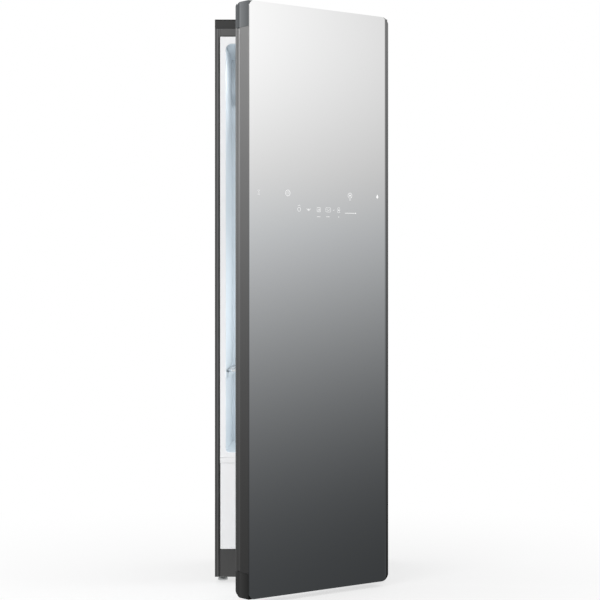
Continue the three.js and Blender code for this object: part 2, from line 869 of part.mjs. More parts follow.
function addMachines() {
  const base = machineBase();
  const [cx, cy] = compressorSpot;
  const halfPlate = compressorPlate / 2;
  const pot = [
    [0, 0],
    [compressorRadius * potFootShare, 0],
    [compressorRadius, compressorDome],
    [compressorRadius, compressorHeight - compressorDome],
    [compressorRadius * potCrownShare, compressorHeight - compressorDome * potCrownDropShare],
    [0, compressorHeight],
  ];
  const compressor = join(
    block([cx - halfPlate, cy - halfPlate, base], [cx + halfPlate, cy + halfPlate, base + machinePlate]),
    turned(pot, cx, cy, base + machinePlate - overlap),
  );
  add("compressor", "machine", compressor);
  add("condenser", "copper", finnedBlock(condenserSpot));
  add("evaporator", "copper", finnedBlock(evaporatorSpot));

  const [bx, by, bz] = blowerCentre;
  const drum = (radius, y0, y1) => {
    const geometry = new THREE.CylinderGeometry(radius, radius, y1 - y0, roundSegments);
    return geometry.translate(bx, (y0 + y1) / 2, bz);
  };
  const front = by - blowerLength / 2;
  const back = by + blowerLength / 2;
  const ductX = blowerDuct / 2;
  const ductFront = front + blowerWall;
  const ductBack = back - blowerWall;
  const ductTop = cavityFloor - linerThickness - seam;
  const outer = join(
    drum(blowerRadius, front, back),
    block([bx - ductX, front, bz], [bx + ductX, back, ductTop]),
  );
  const housing = cut(
    outer,
    drum(blowerRadius - blowerWall, ductFront, ductBack),
    drum(blowerInlet, front - overlap, ductBack),
    block(
      [bx - ductX + blowerWall, ductFront, bz],
      [bx + ductX - blowerWall, ductBack, ductTop + overlap],
    ),
  );
  add("blower_housing", "darkPlastic", housing);

  const halfRun = impellerLength / 2;
  const parts = [
    drum(impellerHub, by - halfRun, ductBack - seam),
    drum(impellerRadius, by + halfRun - blowerWall, by + halfRun),
  ];
  const bladeRun = impellerRadius - impellerHub * impellerBladeShare;
  for (let i = 0; i < impellerBlades; i++) {
    const blade = new THREE.BoxGeometry(bladeRun, impellerLength, impellerBladeThickness);
    blade.translate(impellerHub * impellerBladeShare + bladeRun / 2, 0, 0);
    blade.rotateY(i * Math.PI * 2 / impellerBlades).translate(bx, by, bz);
    parts.push(blade);
  }
  add("impeller", "darkPlastic", join(...parts));

  const [gx, gy] = generatorSpot;
  const [gw, gd, gh] = generatorSize;
  const generator = join(
    block([gx, gy, base], [gx + gw, gy + gd, base + gh]),
    rod(...nozzleCentre, base + gh - overlap, base + gh + generatorStub, nozzlePipeRadius),
  );
  add("steam_generator", "steel", generator);

  const ox = controlLip + seam + skin - halfWidth;
  const oy = controlFrontDepth;
  const oz = controlFloorHeight;
  const [ow, od, oh] = controlSize;
  const control = join(
    block([ox, oy, oz], [ox + ow, oy + od, oz + oh]),
    block([ox - controlLip, oy, oz], [ox + ow + controlLip, oy + controlLip, oz + oh]),
  );
  add("control_box", "darkPlastic", control);
}

function addDoor() {
  const left = -halfWidth;
  const frameFront = doorFront + glassThickness + seam;
  const capTop = doorTop - doorCapHeight;
  const capBottom = doorBottom + doorCapHeight;
  const innerLeft = left + doorRailInner;
  const innerRight = doorRight - doorRailInner;

  const glass = roundedRect(
    left, doorBottom, doorRight - trimWidth - seam, doorTop, glassRadius,
  );
  add("door_glass", "glass", facing(glass, doorFront, doorFront + glassThickness), door);

  const grip = new THREE.Shape();
  grip.moveTo(left, frameFront);
  grip.lineTo(left + doorRailWidth, frameFront);
  grip.lineTo(left + doorRailWidth, doorBack);
  grip.lineTo(left, doorBack);
  grip.lineTo(left, doorBack - gripLip);
  grip.quadraticCurveTo(
    left + gripDepth * gripSlopeShare, doorBack - gripLip - gripSlopeRise,
    left + gripDepth, doorBack - gripWidth + gripLip,
  );
  grip.lineTo(left + gripDepth, doorBack - gripWidth);
  grip.lineTo(left, doorBack - gripWidth);
  grip.closePath();
  add("door_grip_rail", "doorSide", upright(grip, capBottom + seam, capTop - seam), door);

  const hingeCut = doorRight - hingeRecessLength;
  for (const [name, low, high, radii, cutLow, cutHigh] of [
    ["door_cap_top", capTop, doorTop, [0, 0, doorCapRadius, 0],
      doorTop - hingeRecess, doorTop + overlap],
    ["door_cap_bottom", doorBottom, capBottom, [0, doorCapRadius, 0, 0],
      doorBottom - overlap, doorBottom + hingeRecess],
  ]) {
    const cap = sideways(roundedRect(frameFront, low, doorBack, high, radii), left, innerRight);
    const notch = block(
      [hingeCut, frameFront - overlap, cutLow],
      [innerRight + overlap, doorBack + overlap, cutHigh],
    );
    add(name, "doorCap", cut(cap, notch), door);
  }

  const post = outline([
    [doorRight - trimWidth, doorFront],
    [doorRight - stileGroove, doorFront],
    [doorRight, doorFront + stileGroove],
    [doorRight, doorBack],
    [doorRight - doorRailWidth, doorBack],
    [doorRight - doorRailWidth, frameFront],
    [doorRight - trimWidth, frameFront],
  ]);
  const bore = new THREE.Path();
  bore.absarc(...pivot, pinRadius + pinClearance, 0, Math.PI * 2);
  post.holes.push(bore);
  const postLow = doorBottom + hingeRecess;
  const postHigh = doorTop - hingeRecess;
  const corner = glassRadius + trimWidth + seam;
  const frame = roundedRect(left, doorBottom, doorRight, doorTop, [0, corner, corner, 0]);
  const pane = roundedRect(
    left, doorBottom - seam, doorRight - trimWidth, doorTop + seam, glassRadius + seam,
  );
  const cornerLeft = doorRight - trimCornerWidth;
  const trimBack = doorFront + trimThickness;
  const trimmed = common(
    join(
      upright(post, postLow, postHigh, roundSegments),
      block([cornerLeft, doorFront, doorBottom], [doorRight, trimBack, postLow + overlap]),
      block([cornerLeft, doorFront, postHigh - overlap], [doorRight, trimBack, doorTop]),
    ),
    facing(frame, doorFront - overlap, doorBack + overlap),
  );
  const paneTool = facing(pane, doorFront - overlap, frameFront);
  add("door_hinge_post", "doorSide", cut(trimmed, paneTool), door);

  const linerFace = doorBack - doorLinerThickness;
  const core = block(
    [innerLeft, linerFace - seam - doorCoreThickness, capBottom + seam],
    [innerRight, linerFace - seam, capTop - seam],
  );
  add("door_insulation", "foam", core, door);
  const doorLiner = block(
    [innerLeft, linerFace, capBottom + seam],
    [innerRight, doorBack, capTop - seam],
  );
  add("door_liner", "white", doorLiner, door);
  const boardTop = doorTop - boardDrop;
  const board = block(
    [-boardWidth / 2, frameFront, boardTop - boardHeight],
    [boardWidth / 2, frameFront + boardThickness, boardTop],
  );
  add("touch_board", "board", board, door);

  const sealHalf = openingHalf + gasketWidth;
  const sealLow = cavityFloor - gasketWidth;
  const sealHigh = cavityCeiling + gasketWidth;
  const gasket = roundedRect(-sealHalf, sealLow, sealHalf, sealHigh, gasketWidth * 2);
  gasket.holes.push(roundedRect(
    -openingHalf, cavityFloor, openingHalf, cavityCeiling, gasketWidth, THREE.Path,
  ));
  const sealFront = doorBack + seam;
  add("door_gasket", "gasket", facing(gasket, sealFront, sealFront + gasketThickness), door);
}

function addPress() {
  const x0 = pressCentre - pressWidth / 2;
  const x1 = pressCentre + pressWidth / 2;
  const top = cavityCeiling - pressTopDrop;
  const base = roundedRect(x0, pressBottom, x1, top, pressCornerRadius);
  const baseFront = doorBack + seam;
  const baseBack = baseFront + pressBaseThickness;
  add("press_base", "press", facing(base, baseFront, baseBack), door);
  const coverFront = baseBack + seam;
  const cover = facing(base, coverFront, coverFront + pressCoverThickness);
  const gripMiddle = (pressBottom + top) / 2;
  const grip = block(
    [x1 - overlap, coverFront + pressKnuckleRadius, gripMiddle - pressCornerRadius],
    [x1 + pressGripReach, coverFront + pressCoverThickness, gripMiddle + pressCornerRadius],
  );
  add("press_cover", "white", join(cover, grip), door);
}

function addHingeBrackets() {
  const flangeRight = pivot[0] - bracketFlangeLength / 3;
  const flangeLeft = flangeRight - bracketFlangeLength;
  const flangeFront = -seam - bracketFlange;
  const arm = new THREE.Shape();
  const half = bracketWidth / 2;
  arm.moveTo(flangeLeft, -seam);
  arm.lineTo(flangeLeft, flangeFront);
  arm.lineTo(pivot[0] - half * Math.SQRT1_2, pivot[1] - half * Math.SQRT1_2);
  arm.absarc(...pivot, half, -Math.PI * 0.75, Math.PI * 0.25);
  arm.lineTo(flangeRight, flangeFront);
  arm.lineTo(flangeRight, -seam);
  arm.closePath();
  const rise = (hingeRecess - bracketThickness) / 2;
  const upperLow = doorTop - hingeRecess + rise;
  const upperHigh = upperLow + bracketThickness;
  const lowerHigh = doorBottom + hingeRecess - rise;
  const lowerLow = lowerHigh - bracketThickness;
  const upper = join(
    upright(arm, upperLow, upperHigh),
    block([flangeLeft, flangeFront, upperLow - bracketFlangeHeight], [flangeRight, -seam, upperHigh]),
    rod(...pivot, upperLow - pinReach, upperLow + overlap, pinRadius),
  );
  add("hinge_bracket_upper", "steel", upper);
  const lower = join(
    upright(arm, lowerLow, lowerHigh),
    block([flangeLeft, flangeFront, lowerLow], [flangeRight, -seam, lowerHigh + bracketFlangeHeight]),
    rod(...pivot, lowerHigh - overlap, lowerHigh + pinReach, pinRadius),
  );
  add("hinge_bracket_lower", "steel", lower);
}

addShell();
addBaseAndFeet();
addLiner();
addCavityFittings();
addHangerDrive();
addHangers();
addTanks();
addMachines();
addDoor();
addPress();
addHingeBrackets();

// The origin is the middle of the footprint, at floor level.
const bounds = new THREE.Box3().setFromObject(cabinet, true);
const middle = bounds.getCenter(new THREE.Vector3());
cabinet.position.set(-middle.x, -middle.y, -bounds.min.z);

const root = new THREE.Group();
root.name = "steam_cabinet";
root.add(cabinet);

export default root;
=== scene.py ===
import json
import math

import bmesh
import bpy
from mathutils import Matrix, Vector

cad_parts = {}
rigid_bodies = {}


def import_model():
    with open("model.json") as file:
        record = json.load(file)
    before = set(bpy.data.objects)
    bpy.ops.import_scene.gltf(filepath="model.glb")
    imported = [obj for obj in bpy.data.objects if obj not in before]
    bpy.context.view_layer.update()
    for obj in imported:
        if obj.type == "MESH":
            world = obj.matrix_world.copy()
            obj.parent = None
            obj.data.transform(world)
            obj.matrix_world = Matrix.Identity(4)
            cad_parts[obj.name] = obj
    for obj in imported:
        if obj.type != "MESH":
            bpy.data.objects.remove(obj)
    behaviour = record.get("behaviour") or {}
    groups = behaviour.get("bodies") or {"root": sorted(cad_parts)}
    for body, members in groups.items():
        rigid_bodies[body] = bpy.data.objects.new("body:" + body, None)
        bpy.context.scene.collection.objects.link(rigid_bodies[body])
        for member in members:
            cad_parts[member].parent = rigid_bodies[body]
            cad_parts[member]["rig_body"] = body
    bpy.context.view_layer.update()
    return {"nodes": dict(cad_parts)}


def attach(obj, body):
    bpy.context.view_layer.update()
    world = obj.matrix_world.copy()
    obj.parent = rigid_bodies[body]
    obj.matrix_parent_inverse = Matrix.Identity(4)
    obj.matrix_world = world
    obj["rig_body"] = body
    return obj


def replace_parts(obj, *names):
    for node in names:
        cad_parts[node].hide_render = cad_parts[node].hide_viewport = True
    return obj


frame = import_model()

# Looks of the clothes care steam cabinet. Pieces are drawn in the millimetres of the cabinet's own
# drawing: X across the front, Y from the front face back, Z up. Pieces of the door are drawn with
# the door shut and then turned to where it stands ajar.

DRAWING_ORIGIN = (-0.3561710763151211, -38.01405681457004)
HINGE_PIN = (286.5, -67.5)
DOOR_ANGLE = math.radians(38.9)

SHRINK = Matrix.Scale(0.001, 4)
CABINET = SHRINK @ Matrix.Translation((*DRAWING_ORIGIN, 0))
DOOR = (
    CABINET
    @ Matrix.Translation((*HINGE_PIN, 0))
    @ Matrix.Rotation(DOOR_ANGLE, 4, "Z")
    @ Matrix.Translation((-HINGE_PIN[0], -HINGE_PIN[1], 0))
)

# Sizes that the CAD has, in the drawing's millimetres.
HEIGHT = 1960
BACK_FACE = 520
CAVITY_FLOOR = 452
CAVITY_CEILING = 1876
REAR_WALL = 462.3
BAR_HEIGHT = 1800
BAR_DEPTH = 235
MACHINE_FLOOR = 21.3
DOOR_FRONT = -78
DOOR_BACK = -8
DOOR_LEFT = -300
DOOR_RIGHT = 297.5
DOOR_BOTTOM = 18
DOOR_TOP = 1955
CAP_LENGTH = 83
LINER_MIDDLE = 1164
SEAM = 0.3

# A lathe profile starts and ends this far from its axis, so its ends are closed by small faces.
TIP = 0.01


# ---------------- materials

WHITE_LEVEL = 255
CURVE_SHIFT = 0.055
CURVE_POWER = 2.4
WHITE = (1, 1, 1, 1)
UP = (0, 0, 1)
TO_RIGHT = (1, 0, 0)
TO_BACK = (0, 1, 0)


def linear(level):
    """A screen level from 0 to 255, as the linear one that a shader takes."""
    return ((level / WHITE_LEVEL + CURVE_SHIFT) / (1 + CURVE_SHIFT)) ** CURVE_POWER


def tint(levels):
    """A colour from one or three screen levels."""
    parts = levels if isinstance(levels, tuple) else (levels,) * 3
    return (*[linear(part) if part else 0 for part in parts], 1)


class Value:
    """One number in a material. Sums, products and powers of it add Math nodes."""

    def __init__(self, finish, source):
        self.finish = finish
        self.source = source

    def maths(self, operation, other=0.0):
        return self.finish.maths(operation, self, other)

    def __add__(self, other):
        return self.maths("ADD", other)

    def __mul__(self, other):
        return self.maths("MULTIPLY", other)

    def __sub__(self, other):
        return self.maths("SUBTRACT", other)

    def __rsub__(self, other):
        return self.finish.maths("SUBTRACT", other, self)

    def __truediv__(self, other):
        return self.maths("DIVIDE", other)

    def __pow__(self, other):
        return self.maths("POWER", other)

    __radd__ = __add__

    def between(self, low, high):
        """0 below low, 1 above high and a smooth rise between them."""
        inputs = {0: self, 1: low, 2: high}
        return self.finish.node("MapRange", inputs, interpolation_type="SMOOTHSTEP")


class Finish:
    """One named material, or the world, and the nodes that make it."""

    def __init__(self, name, home=bpy.data.materials):
        self.block = home.new(name)
        self.block.use_nodes = True
        self.tree = self.block.node_tree
        self.tree.nodes.clear()

    def node(self, kind, inputs, output=0, **settings):
        """Adds one node: its settings first, then the values and links of its sockets."""
        made = self.tree.nodes.new("ShaderNode" + kind)
        for key, value in settings.items():
            setattr(made, key, value)
        for key, value in inputs.items():
            if isinstance(value, Value):
                self.tree.links.new(value.source, made.inputs[key])
            else:
                made.inputs[key].default_value = value
        return Value(self, made.outputs[output])

    def maths(self, operation, first, second):
        return self.node("Math", {0: first, 1: second}, operation=operation)

    def place(self):
        """Where a point lies at rest, in metres. It moves with its piece."""
        return self.node("TexCoord", {}, "Object")

    def axis(self, direction):
        """How far a point lies along a direction."""
        inputs = {0: self.place(), 1: direction}
        return self.node("VectorMath", inputs, "Value", operation="DOT_PRODUCT")

    def noise(self, scale, detail=3.0, stretch=(1, 1, 1)):
        placed = self.node("Mapping", {0: self.place(), 3: stretch})
        return self.node("TexNoise", {"Vector": placed, "Scale": scale, "Detail": detail})

    def mix(self, factor, first, second):
        return self.node("Mix", {0: factor, 6: first, 7: second}, 2, data_type="RGBA")

    def mixed(self, *levels):
        """A colour from three screen levels that vary."""
        parts = [linear(level) for level in levels]
        return self.node("CombineColor", dict(enumerate(parts)))

    def bump(self, height, distance):
        return self.node("Bump", {"Height": height, "Distance": distance})

    def surface(self, **sockets):
        inputs = {key.replace("_", " "): value for key, value in sockets.items()}
        self.output(self.node("BsdfPrincipled", inputs))
        return self.block

    def output(self, shader, end="Material"):
        made = self.tree.nodes.new("ShaderNodeOutput" + end)
        self.tree.links.new(shader.source, made.inputs[0])

    def looked_at(self, share=1.0):
        """1 for a ray seen in a mirror or through glass, share for one seen by the camera, and 0
        for one that carries light."""
        camera, glossy, clear = (
            self.node("LightPath", {}, f"Is {kind} Ray")
            for kind in ("Camera", "Glossy", "Transmission")
        )
        return (camera * share).maths("MAXIMUM", glossy).maths("MAXIMUM", clear)


def plastic(name, colour, rough=0.45, grain=900, relief=0.00002, shade=0.94, painted_shade=None, **more):
    """Moulded plastic: fine spark-eroded grain and slow random changes of tone. The argument for
    painted shade is a direction, two places along it and the share by which the colour is painted
    darker
    past them: painted shade, so it isn't burnt out beside a lamp."""
    finish = Finish(name)
    fine = finish.noise(grain, 2)
    slow = finish.noise(6, 2)
    bright = tint(colour)
    dull = [part * shade for part in bright[:3]]
    paint = finish.mix(slow, (*dull, 1), bright)
    if painted_shade:
        direction, low, high, loss = painted_shade
        # Painted shade: the colour is darker past the two places along the direction.
        paint = finish.mix(finish.axis(direction).between(low, high) * loss, paint, tint(0))
    return finish.surface(
        Base_Color=paint, Roughness=rough - 0.06 + fine * 0.12,
        Normal=finish.bump(fine, relief), **more,
    )


def sheet_metal(name, paint, rough=0.34, brushed=(1, 1, 0.02), relief=0.000004, contrast=0.1):
    """Brushed and lacquered sheet. paint is a colour, or a function that gives one screen level or
    three."""
    finish = Finish(name)
    brush = finish.noise(1400, 2, brushed)
    cloud = finish.noise(5, 2)
    colour = paint(finish) if callable(paint) else tint(paint)
    if isinstance(colour, Value):
        colour = linear(colour)
    elif callable(paint):
        colour = finish.mixed(*colour)
    light = finish.mix(brush * contrast + (1 - contrast / 2), tint(0), colour)
    soft = finish.mix(cloud * 0.1, light, tint(0))
    return finish.surface(
        Base_Color=soft, Metallic=1.0, Roughness=rough - 0.05 + brush * 0.1,
        Normal=finish.bump(brush, relief),
    )


def woven(name, colour, across, pitch, rough, relief):
    """Cloth or gauze: threads crossing at right angles, with slow changes of shade."""
    finish = Finish(name)
    turns = 2 * math.pi / pitch
    warp, weft = ((finish.axis(way) * turns).maths("SINE") for way in (across, UP))
    thread = warp * weft * 0.5 + 0.5
    fuzz = finish.noise(2600, 2)
    bright = tint(colour)
    dark = (*[part * 0.72 for part in bright[:3]], 1)
    cloud = finish.mix(finish.noise(7, 2) * 0.12, bright, tint(120))
    paint = finish.mix(thread * 0.7 + fuzz * 0.3, dark, cloud)
    relief = finish.bump(thread + fuzz * 0.3, relief)
    return finish.surface(Base_Color=paint, Roughness=rough, Sheen_Weight=0.2, Normal=relief)


# The greys of the tall mirror and the brushed steel are a painted reflection of a room that is
# bright above and dark below, as curves of the height in metres. Screen greys run from 0 to 255. A
# pair is where a change starts and where it ends.
ALONG_DOOR = (math.cos(DOOR_ANGLE), math.sin(DOOR_ANGLE), 0)
INTO_DOOR = (-math.sin(DOOR_ANGLE), math.cos(DOOR_ANGLE), 0)
# Where the painted highlight line beside the grip starts and ends, as shares of the door's depth.
GRIP_HIGHLIGHT = 0.752
HIGHLIGHT_START = (GRIP_HIGHLIGHT - 0.045, GRIP_HIGHLIGHT - 0.03)
HIGHLIGHT_END = (GRIP_HIGHLIGHT, GRIP_HIGHLIGHT + 0.015)
# Where the stiles' painted groove shade starts and ends, across the front and up.
OUTER_GROOVE = (0.2924, 0.2932)
INNER_GROOVE = (0.2862, 0.287)
INNER_GROOVE_TOP = (1.8955, 1.9015)
HEADER_LOW_LINE = (1.903, 1.9045)
RAIL_HIGH_LINE = (1.9555, 1.957)
FREE_BORDER = (0.0, 0.0014)
HINGE_BORDER = (0.9705, 0.9735)


def height(finish):
    return finish.axis(UP)


def metres(size):
    return size / 1000


def door_share(finish):
    """0 at the door's free edge and 1 at its hinge edge."""
    start = (DOOR @ Vector((DOOR_LEFT, 0, 0))).dot(Vector(ALONG_DOOR))
    return (finish.axis(ALONG_DOOR) - start) / metres(DOOR_RIGHT - DOOR_LEFT)


def depth_share(finish):
    """0 at the glass and 1 at the door's inner face."""
    start = (DOOR @ Vector((0, DOOR_FRONT, 0))).dot(Vector(INTO_DOOR))
    return (finish.axis(INTO_DOOR) - start) / metres(DOOR_BACK - DOOR_FRONT)


def frame_grey(finish):
    """Grey of the stiles: a painted reflection that changes with height, with painted shade in
    their two grooves.
    """
    z = height(finish)
    # Painted reflection of a room, changing with height.
    grey = (z * -6.1 + 19.5) * z + 90
    middle = metres(DRAWING_ORIGIN[0])
    across = (finish.axis(TO_RIGHT) - middle).maths("ABSOLUTE")
    # Painted shade: darker on the outer strip and, below the header, on the inner strip.
    outer = across.between(*OUTER_GROOVE) * 0.2
    inner = (1 - across.between(*INNER_GROOVE)) * (1 - z.between(*INNER_GROOVE_TOP)) * 0.34
    return grey * (1 - (outer + inner))


def header_grey(finish):
    """Grey of the header rail, with a dark line along its lower edge."""
    return 96 - (1 - height(finish).between(*HEADER_LOW_LINE)) * 24


def rail_grey(finish):
    """Grey of the top rail, with a dark line along its upper edge."""
    return 65 - height(finish).between(*RAIL_HIGH_LINE) * 24


def side_shade(finish):
    """Grey of the door's free side at each height: a painted reflection of a room, bright above and
    dark below.
    """
    z = height(finish)
    return ((z * -12.16 + 38.32) * z + 24.66) * z + 44.53


def side_grey(finish):
    """Grey of the door's free side, with a painted highlight line beside the grip that is weaker
    higher up.
    """
    z = height(finish)
    # Painted highlight line beside the grip, weaker higher up.
    line = depth_share(finish).between(*HIGHLIGHT_START)
    return side_shade(finish) + line * (24 - z * 10 - z.between(1.4, 1.85) * 18)


def cap_grey(finish):
    """Grey of the end caps in painted shade and reflection: the top cap lighter than the bottom
    one, darker towards the glass, with a painted highlight line at the grip line and painted shade
    behind it.
    """
    depth = depth_share(finish)
    upper = height(finish).between(0.9, 1.0)
    # Painted shade and reflection: the top cap lighter, and both darker towards the glass.
    body = depth * (upper * 7 + 39) + upper * 77 + 23
    # Painted highlight at the grip line and painted shade behind it.
    rear = depth.between(*HIGHLIGHT_END)
    line = depth.between(*HIGHLIGHT_START) - rear
    grey = body + line * (upper * 12 + 1) - rear * (upper * 28 + 14)
    # The top cap's grey is slightly bluer.
    return grey - upper * 2, grey + upper, grey + upper * 3


def trim_grey(finish):
    """Grey of the hinge side's trim: a painted reflection, lighter higher up."""
    return height(finish) * 45 + 39.4


def mirror(name):
    """Grey mirror glass whose grey is a painted reflection: lighter higher up, darker towards the
    hinge and bluer low down. Its free edge has a dark border in the door side's painted grey, and
    its hinge edge a dark border whose painted grey is lighter higher up."""
    finish = Finish(name)
    share = height(finish) / metres(HEIGHT)
    across = door_share(finish)
    # Painted reflection: lighter higher up and darker towards the hinge.
    grey = ((share * -329.5 + 468.7) * share + 44.2) * share + 65.1 - across * (share * 20.2 + 6.9)
    free_edge = 1 - across.between(*FREE_BORDER)
    hinge_edge = across.between(*HINGE_BORDER)
    # The free border takes the side's painted reflection, and the hinge border a painted grey
    # lighter higher up.
    grey = grey * (1 - (free_edge + hinge_edge)) + side_shade(finish) * free_edge
    grey = grey + hinge_edge * (height(finish).between(0.2, 1.3) * 59 + 68)
    # Painted reflection: slightly bluer low down.
    cool = 1 - share.between(0.6, 0.74)
    smudge = finish.noise(9, 4)
    paint = finish.mixed(grey - cool * 2, grey, grey + cool * 1.6)
    return finish.surface(
        Base_Color=paint, Metallic=1.0, Roughness=0.02 + smudge * 0.05,
        Normal=finish.bump(finish.noise(3, 1), 0.00002),
    )


BRUSHED_ACROSS = (0.02, 1, 1)

materials = {
    "mirror": mirror("grey_mirror_glass"),
    "frame_steel": sheet_metal("brushed_grey_frame", frame_grey),
    "header_steel": sheet_metal("brushed_grey_header", header_grey, brushed=BRUSHED_ACROSS),
    "rail_steel": sheet_metal("dark_top_rail", rail_grey, 0.4, brushed=BRUSHED_ACROSS),
    "plinth_steel": sheet_metal("dark_plinth", 82, 0.42, brushed=BRUSHED_ACROSS),
    "door_side": sheet_metal("brushed_door_side", side_grey),
    "door_cap": sheet_metal("shaded_end_cap", cap_grey),
    "door_trim": sheet_metal("dark_door_trim", trim_grey),
    "shell_steel": sheet_metal("grey_shell_steel", (118, 119, 121), 0.38),
    # The flange is painted up to 8 per cent darker higher up: painted shade.
    "white_liner": plastic("white_liner", (247, 247, 248), 0.4, painted_shade=(UP, 0.7, 1.75, 0.08)),
    # The white front panels are painted up to 16 per cent darker towards the right: painted shade.
    "white_panel": plastic(
        "white_front_panel", (246, 246, 247), 0.34, painted_shade=(TO_RIGHT, -0.235, -0.16, 0.16)
    ),
    "door_white": plastic("white_door_lining", (219, 220, 222), 0.4),
    "moulding": plastic("pale_grey_moulding", (211, 212, 215), 0.34),
    # The cavity walls are painted up to 34 per cent darker from left to right: painted shade.
    "cavity_white": plastic(
        "white_cavity_wall", (230, 237, 242), 0.35,
        painted_shade=(TO_RIGHT, -0.24, 0.24, 0.34), Coat_Weight=0.1,
    ),
    "foam": plastic("insulating_foam", (228, 222, 200), 0.9, 240, 0.0006, 0.82),
    "rubber": plastic("grey_seal_rubber", (176, 179, 182), 0.75, 1400, 0.00002, 0.9),
    "dark_rubber": plastic("black_rubber", (34, 34, 36), 0.8, 1400, 0.00002, 0.85),
    "chrome": sheet_metal(
        "polished_chrome", (218, 220, 222), 0.12, relief=0.000001, contrast=0.04
    ),
    "zinc": sheet_metal("zinc_plated_steel", (176, 178, 176), 0.32),
    "black_plastic": plastic("charcoal_plastic", (56, 58, 62), 0.55),
    "grey_plastic": plastic("mid_grey_plastic", (128, 131, 135), 0.5),
    "pad": woven("press_pad_cloth", (206, 212, 220), ALONG_DOOR, 0.0024, 0.88, 0.00015),
    "hanger": plastic("hanger_white", (178, 179, 180), 0.3),
    "tank": plastic(
        "clear_tank", (222, 234, 240), 0.22, 700, 0.00001, 0.97,
        Transmission_Weight=0.75, IOR=1.46,
    ),
    "tank_cap": plastic("tank_lid_blue_grey", (112, 142, 164), 0.42),
    "board": plastic("circuit_board_green", (40, 88, 58), 0.45, 260, 0.0001, 0.7),
    "aluminium": sheet_metal("mill_aluminium", (186, 188, 190), 0.36),
    "copper": sheet_metal("copper_pipe", (200, 128, 92), 0.28),
    "brass": sheet_metal("brass_fitting", (196, 172, 106), 0.3),
    "machine": plastic(
        "black_machine_enamel", (46, 47, 50), 0.35, 500, 0.00003, 0.86, Coat_Weight=0.3
    ),
    "lens": plastic(
        "frosted_lamp_lens", (250, 250, 244), 0.35, 700, 0.00003, 0.98,
        Emission_Color=(1, 0.98, 0.94, 1), Emission_Strength=0.6,
    ),
    "foot_metal": sheet_metal("satin_foot_metal", (172, 174, 175), 0.3),
    "gauze": woven("filter_gauze", (150, 154, 158), TO_RIGHT, 0.0016, 0.5, 0.0002),
    "marks": plastic(
        "printed_touch_marks", 250, 0.3, Emission_Color=WHITE, Emission_Strength=0.1
    ),
}


# ---------------- pieces

def add(name, data):
    """A new object in the scene."""
    obj = bpy.data.objects.new(name, data)
    bpy.context.scene.collection.objects.link(obj)
    return obj


def settle(obj):
    """Applies a piece's modifiers to its mesh."""
    bpy.context.view_layer.update()
    seen = obj.evaluated_get(bpy.context.evaluated_depsgraph_get())
    finished = bpy.data.meshes.new_from_object(seen)
    obj.modifiers.clear()
    obj.data = finished


def make(name, mesh, body, slot, *finishes):
    """A piece from a mesh in the row frame."""
    obj = add(name, mesh)
    mesh.materials.clear()
    for key in finishes:
        mesh.materials.append(materials[key])
    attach(obj, body)
    return obj


def soften(obj, width, segments=2, limit=28):
    """Rounds a piece's edges and gives its flat faces flat shading. limit is the least angle in
    degrees of an edge that is rounded."""
    obj.data.shade_smooth()
    obj.data.set_sharp_from_angle(angle=math.radians(75 if width else 40))
    if width:
        bevel = obj.modifiers.new("edges", "BEVEL")
        bevel.width = metres(width)
        bevel.segments = segments
        bevel.limit_method = "ANGLE"
        bevel.angle_limit = math.radians(limit)
        bevel.miter_outer = "MITER_ARC"
    weighted = obj.modifiers.new("flat_faces", "WEIGHTED_NORMAL")
    weighted.keep_sharp = True
    settle(obj)


SAME_SPOT = 0.000002
FLAT = math.radians(0.4)
HOLE_LIMIT = 50


def reshape(node, slot, width, *finishes, pick=None, segments=2, holes=None, hole_edge=0.3):
    """Stands a copy with rounded edges in for a CAD node. pick chooses a face's finish from its
    middle and its direction, in the row frame. holes is cut out of it."""
    source = frame["nodes"][node]
    mesh = source.data.copy()
    work = bmesh.new()
    work.from_mesh(mesh)
    bmesh.ops.remove_doubles(work, verts=work.verts, dist=SAME_SPOT)
    bmesh.ops.dissolve_limit(work, angle_limit=FLAT, verts=work.verts, edges=work.edges)
    for face in work.faces:
        face.material_index = pick(face.calc_center_median(), face.normal) if pick else 0
    work.to_mesh(mesh)
    work.free()
    obj = make(node + "_finish", mesh, source["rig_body"], slot, *finishes)
    soften(obj, width, segments)
    if holes:
        holes.cut_from(obj)
        soften(obj, hole_edge, limit=HOLE_LIMIT)
    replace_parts(obj, node)


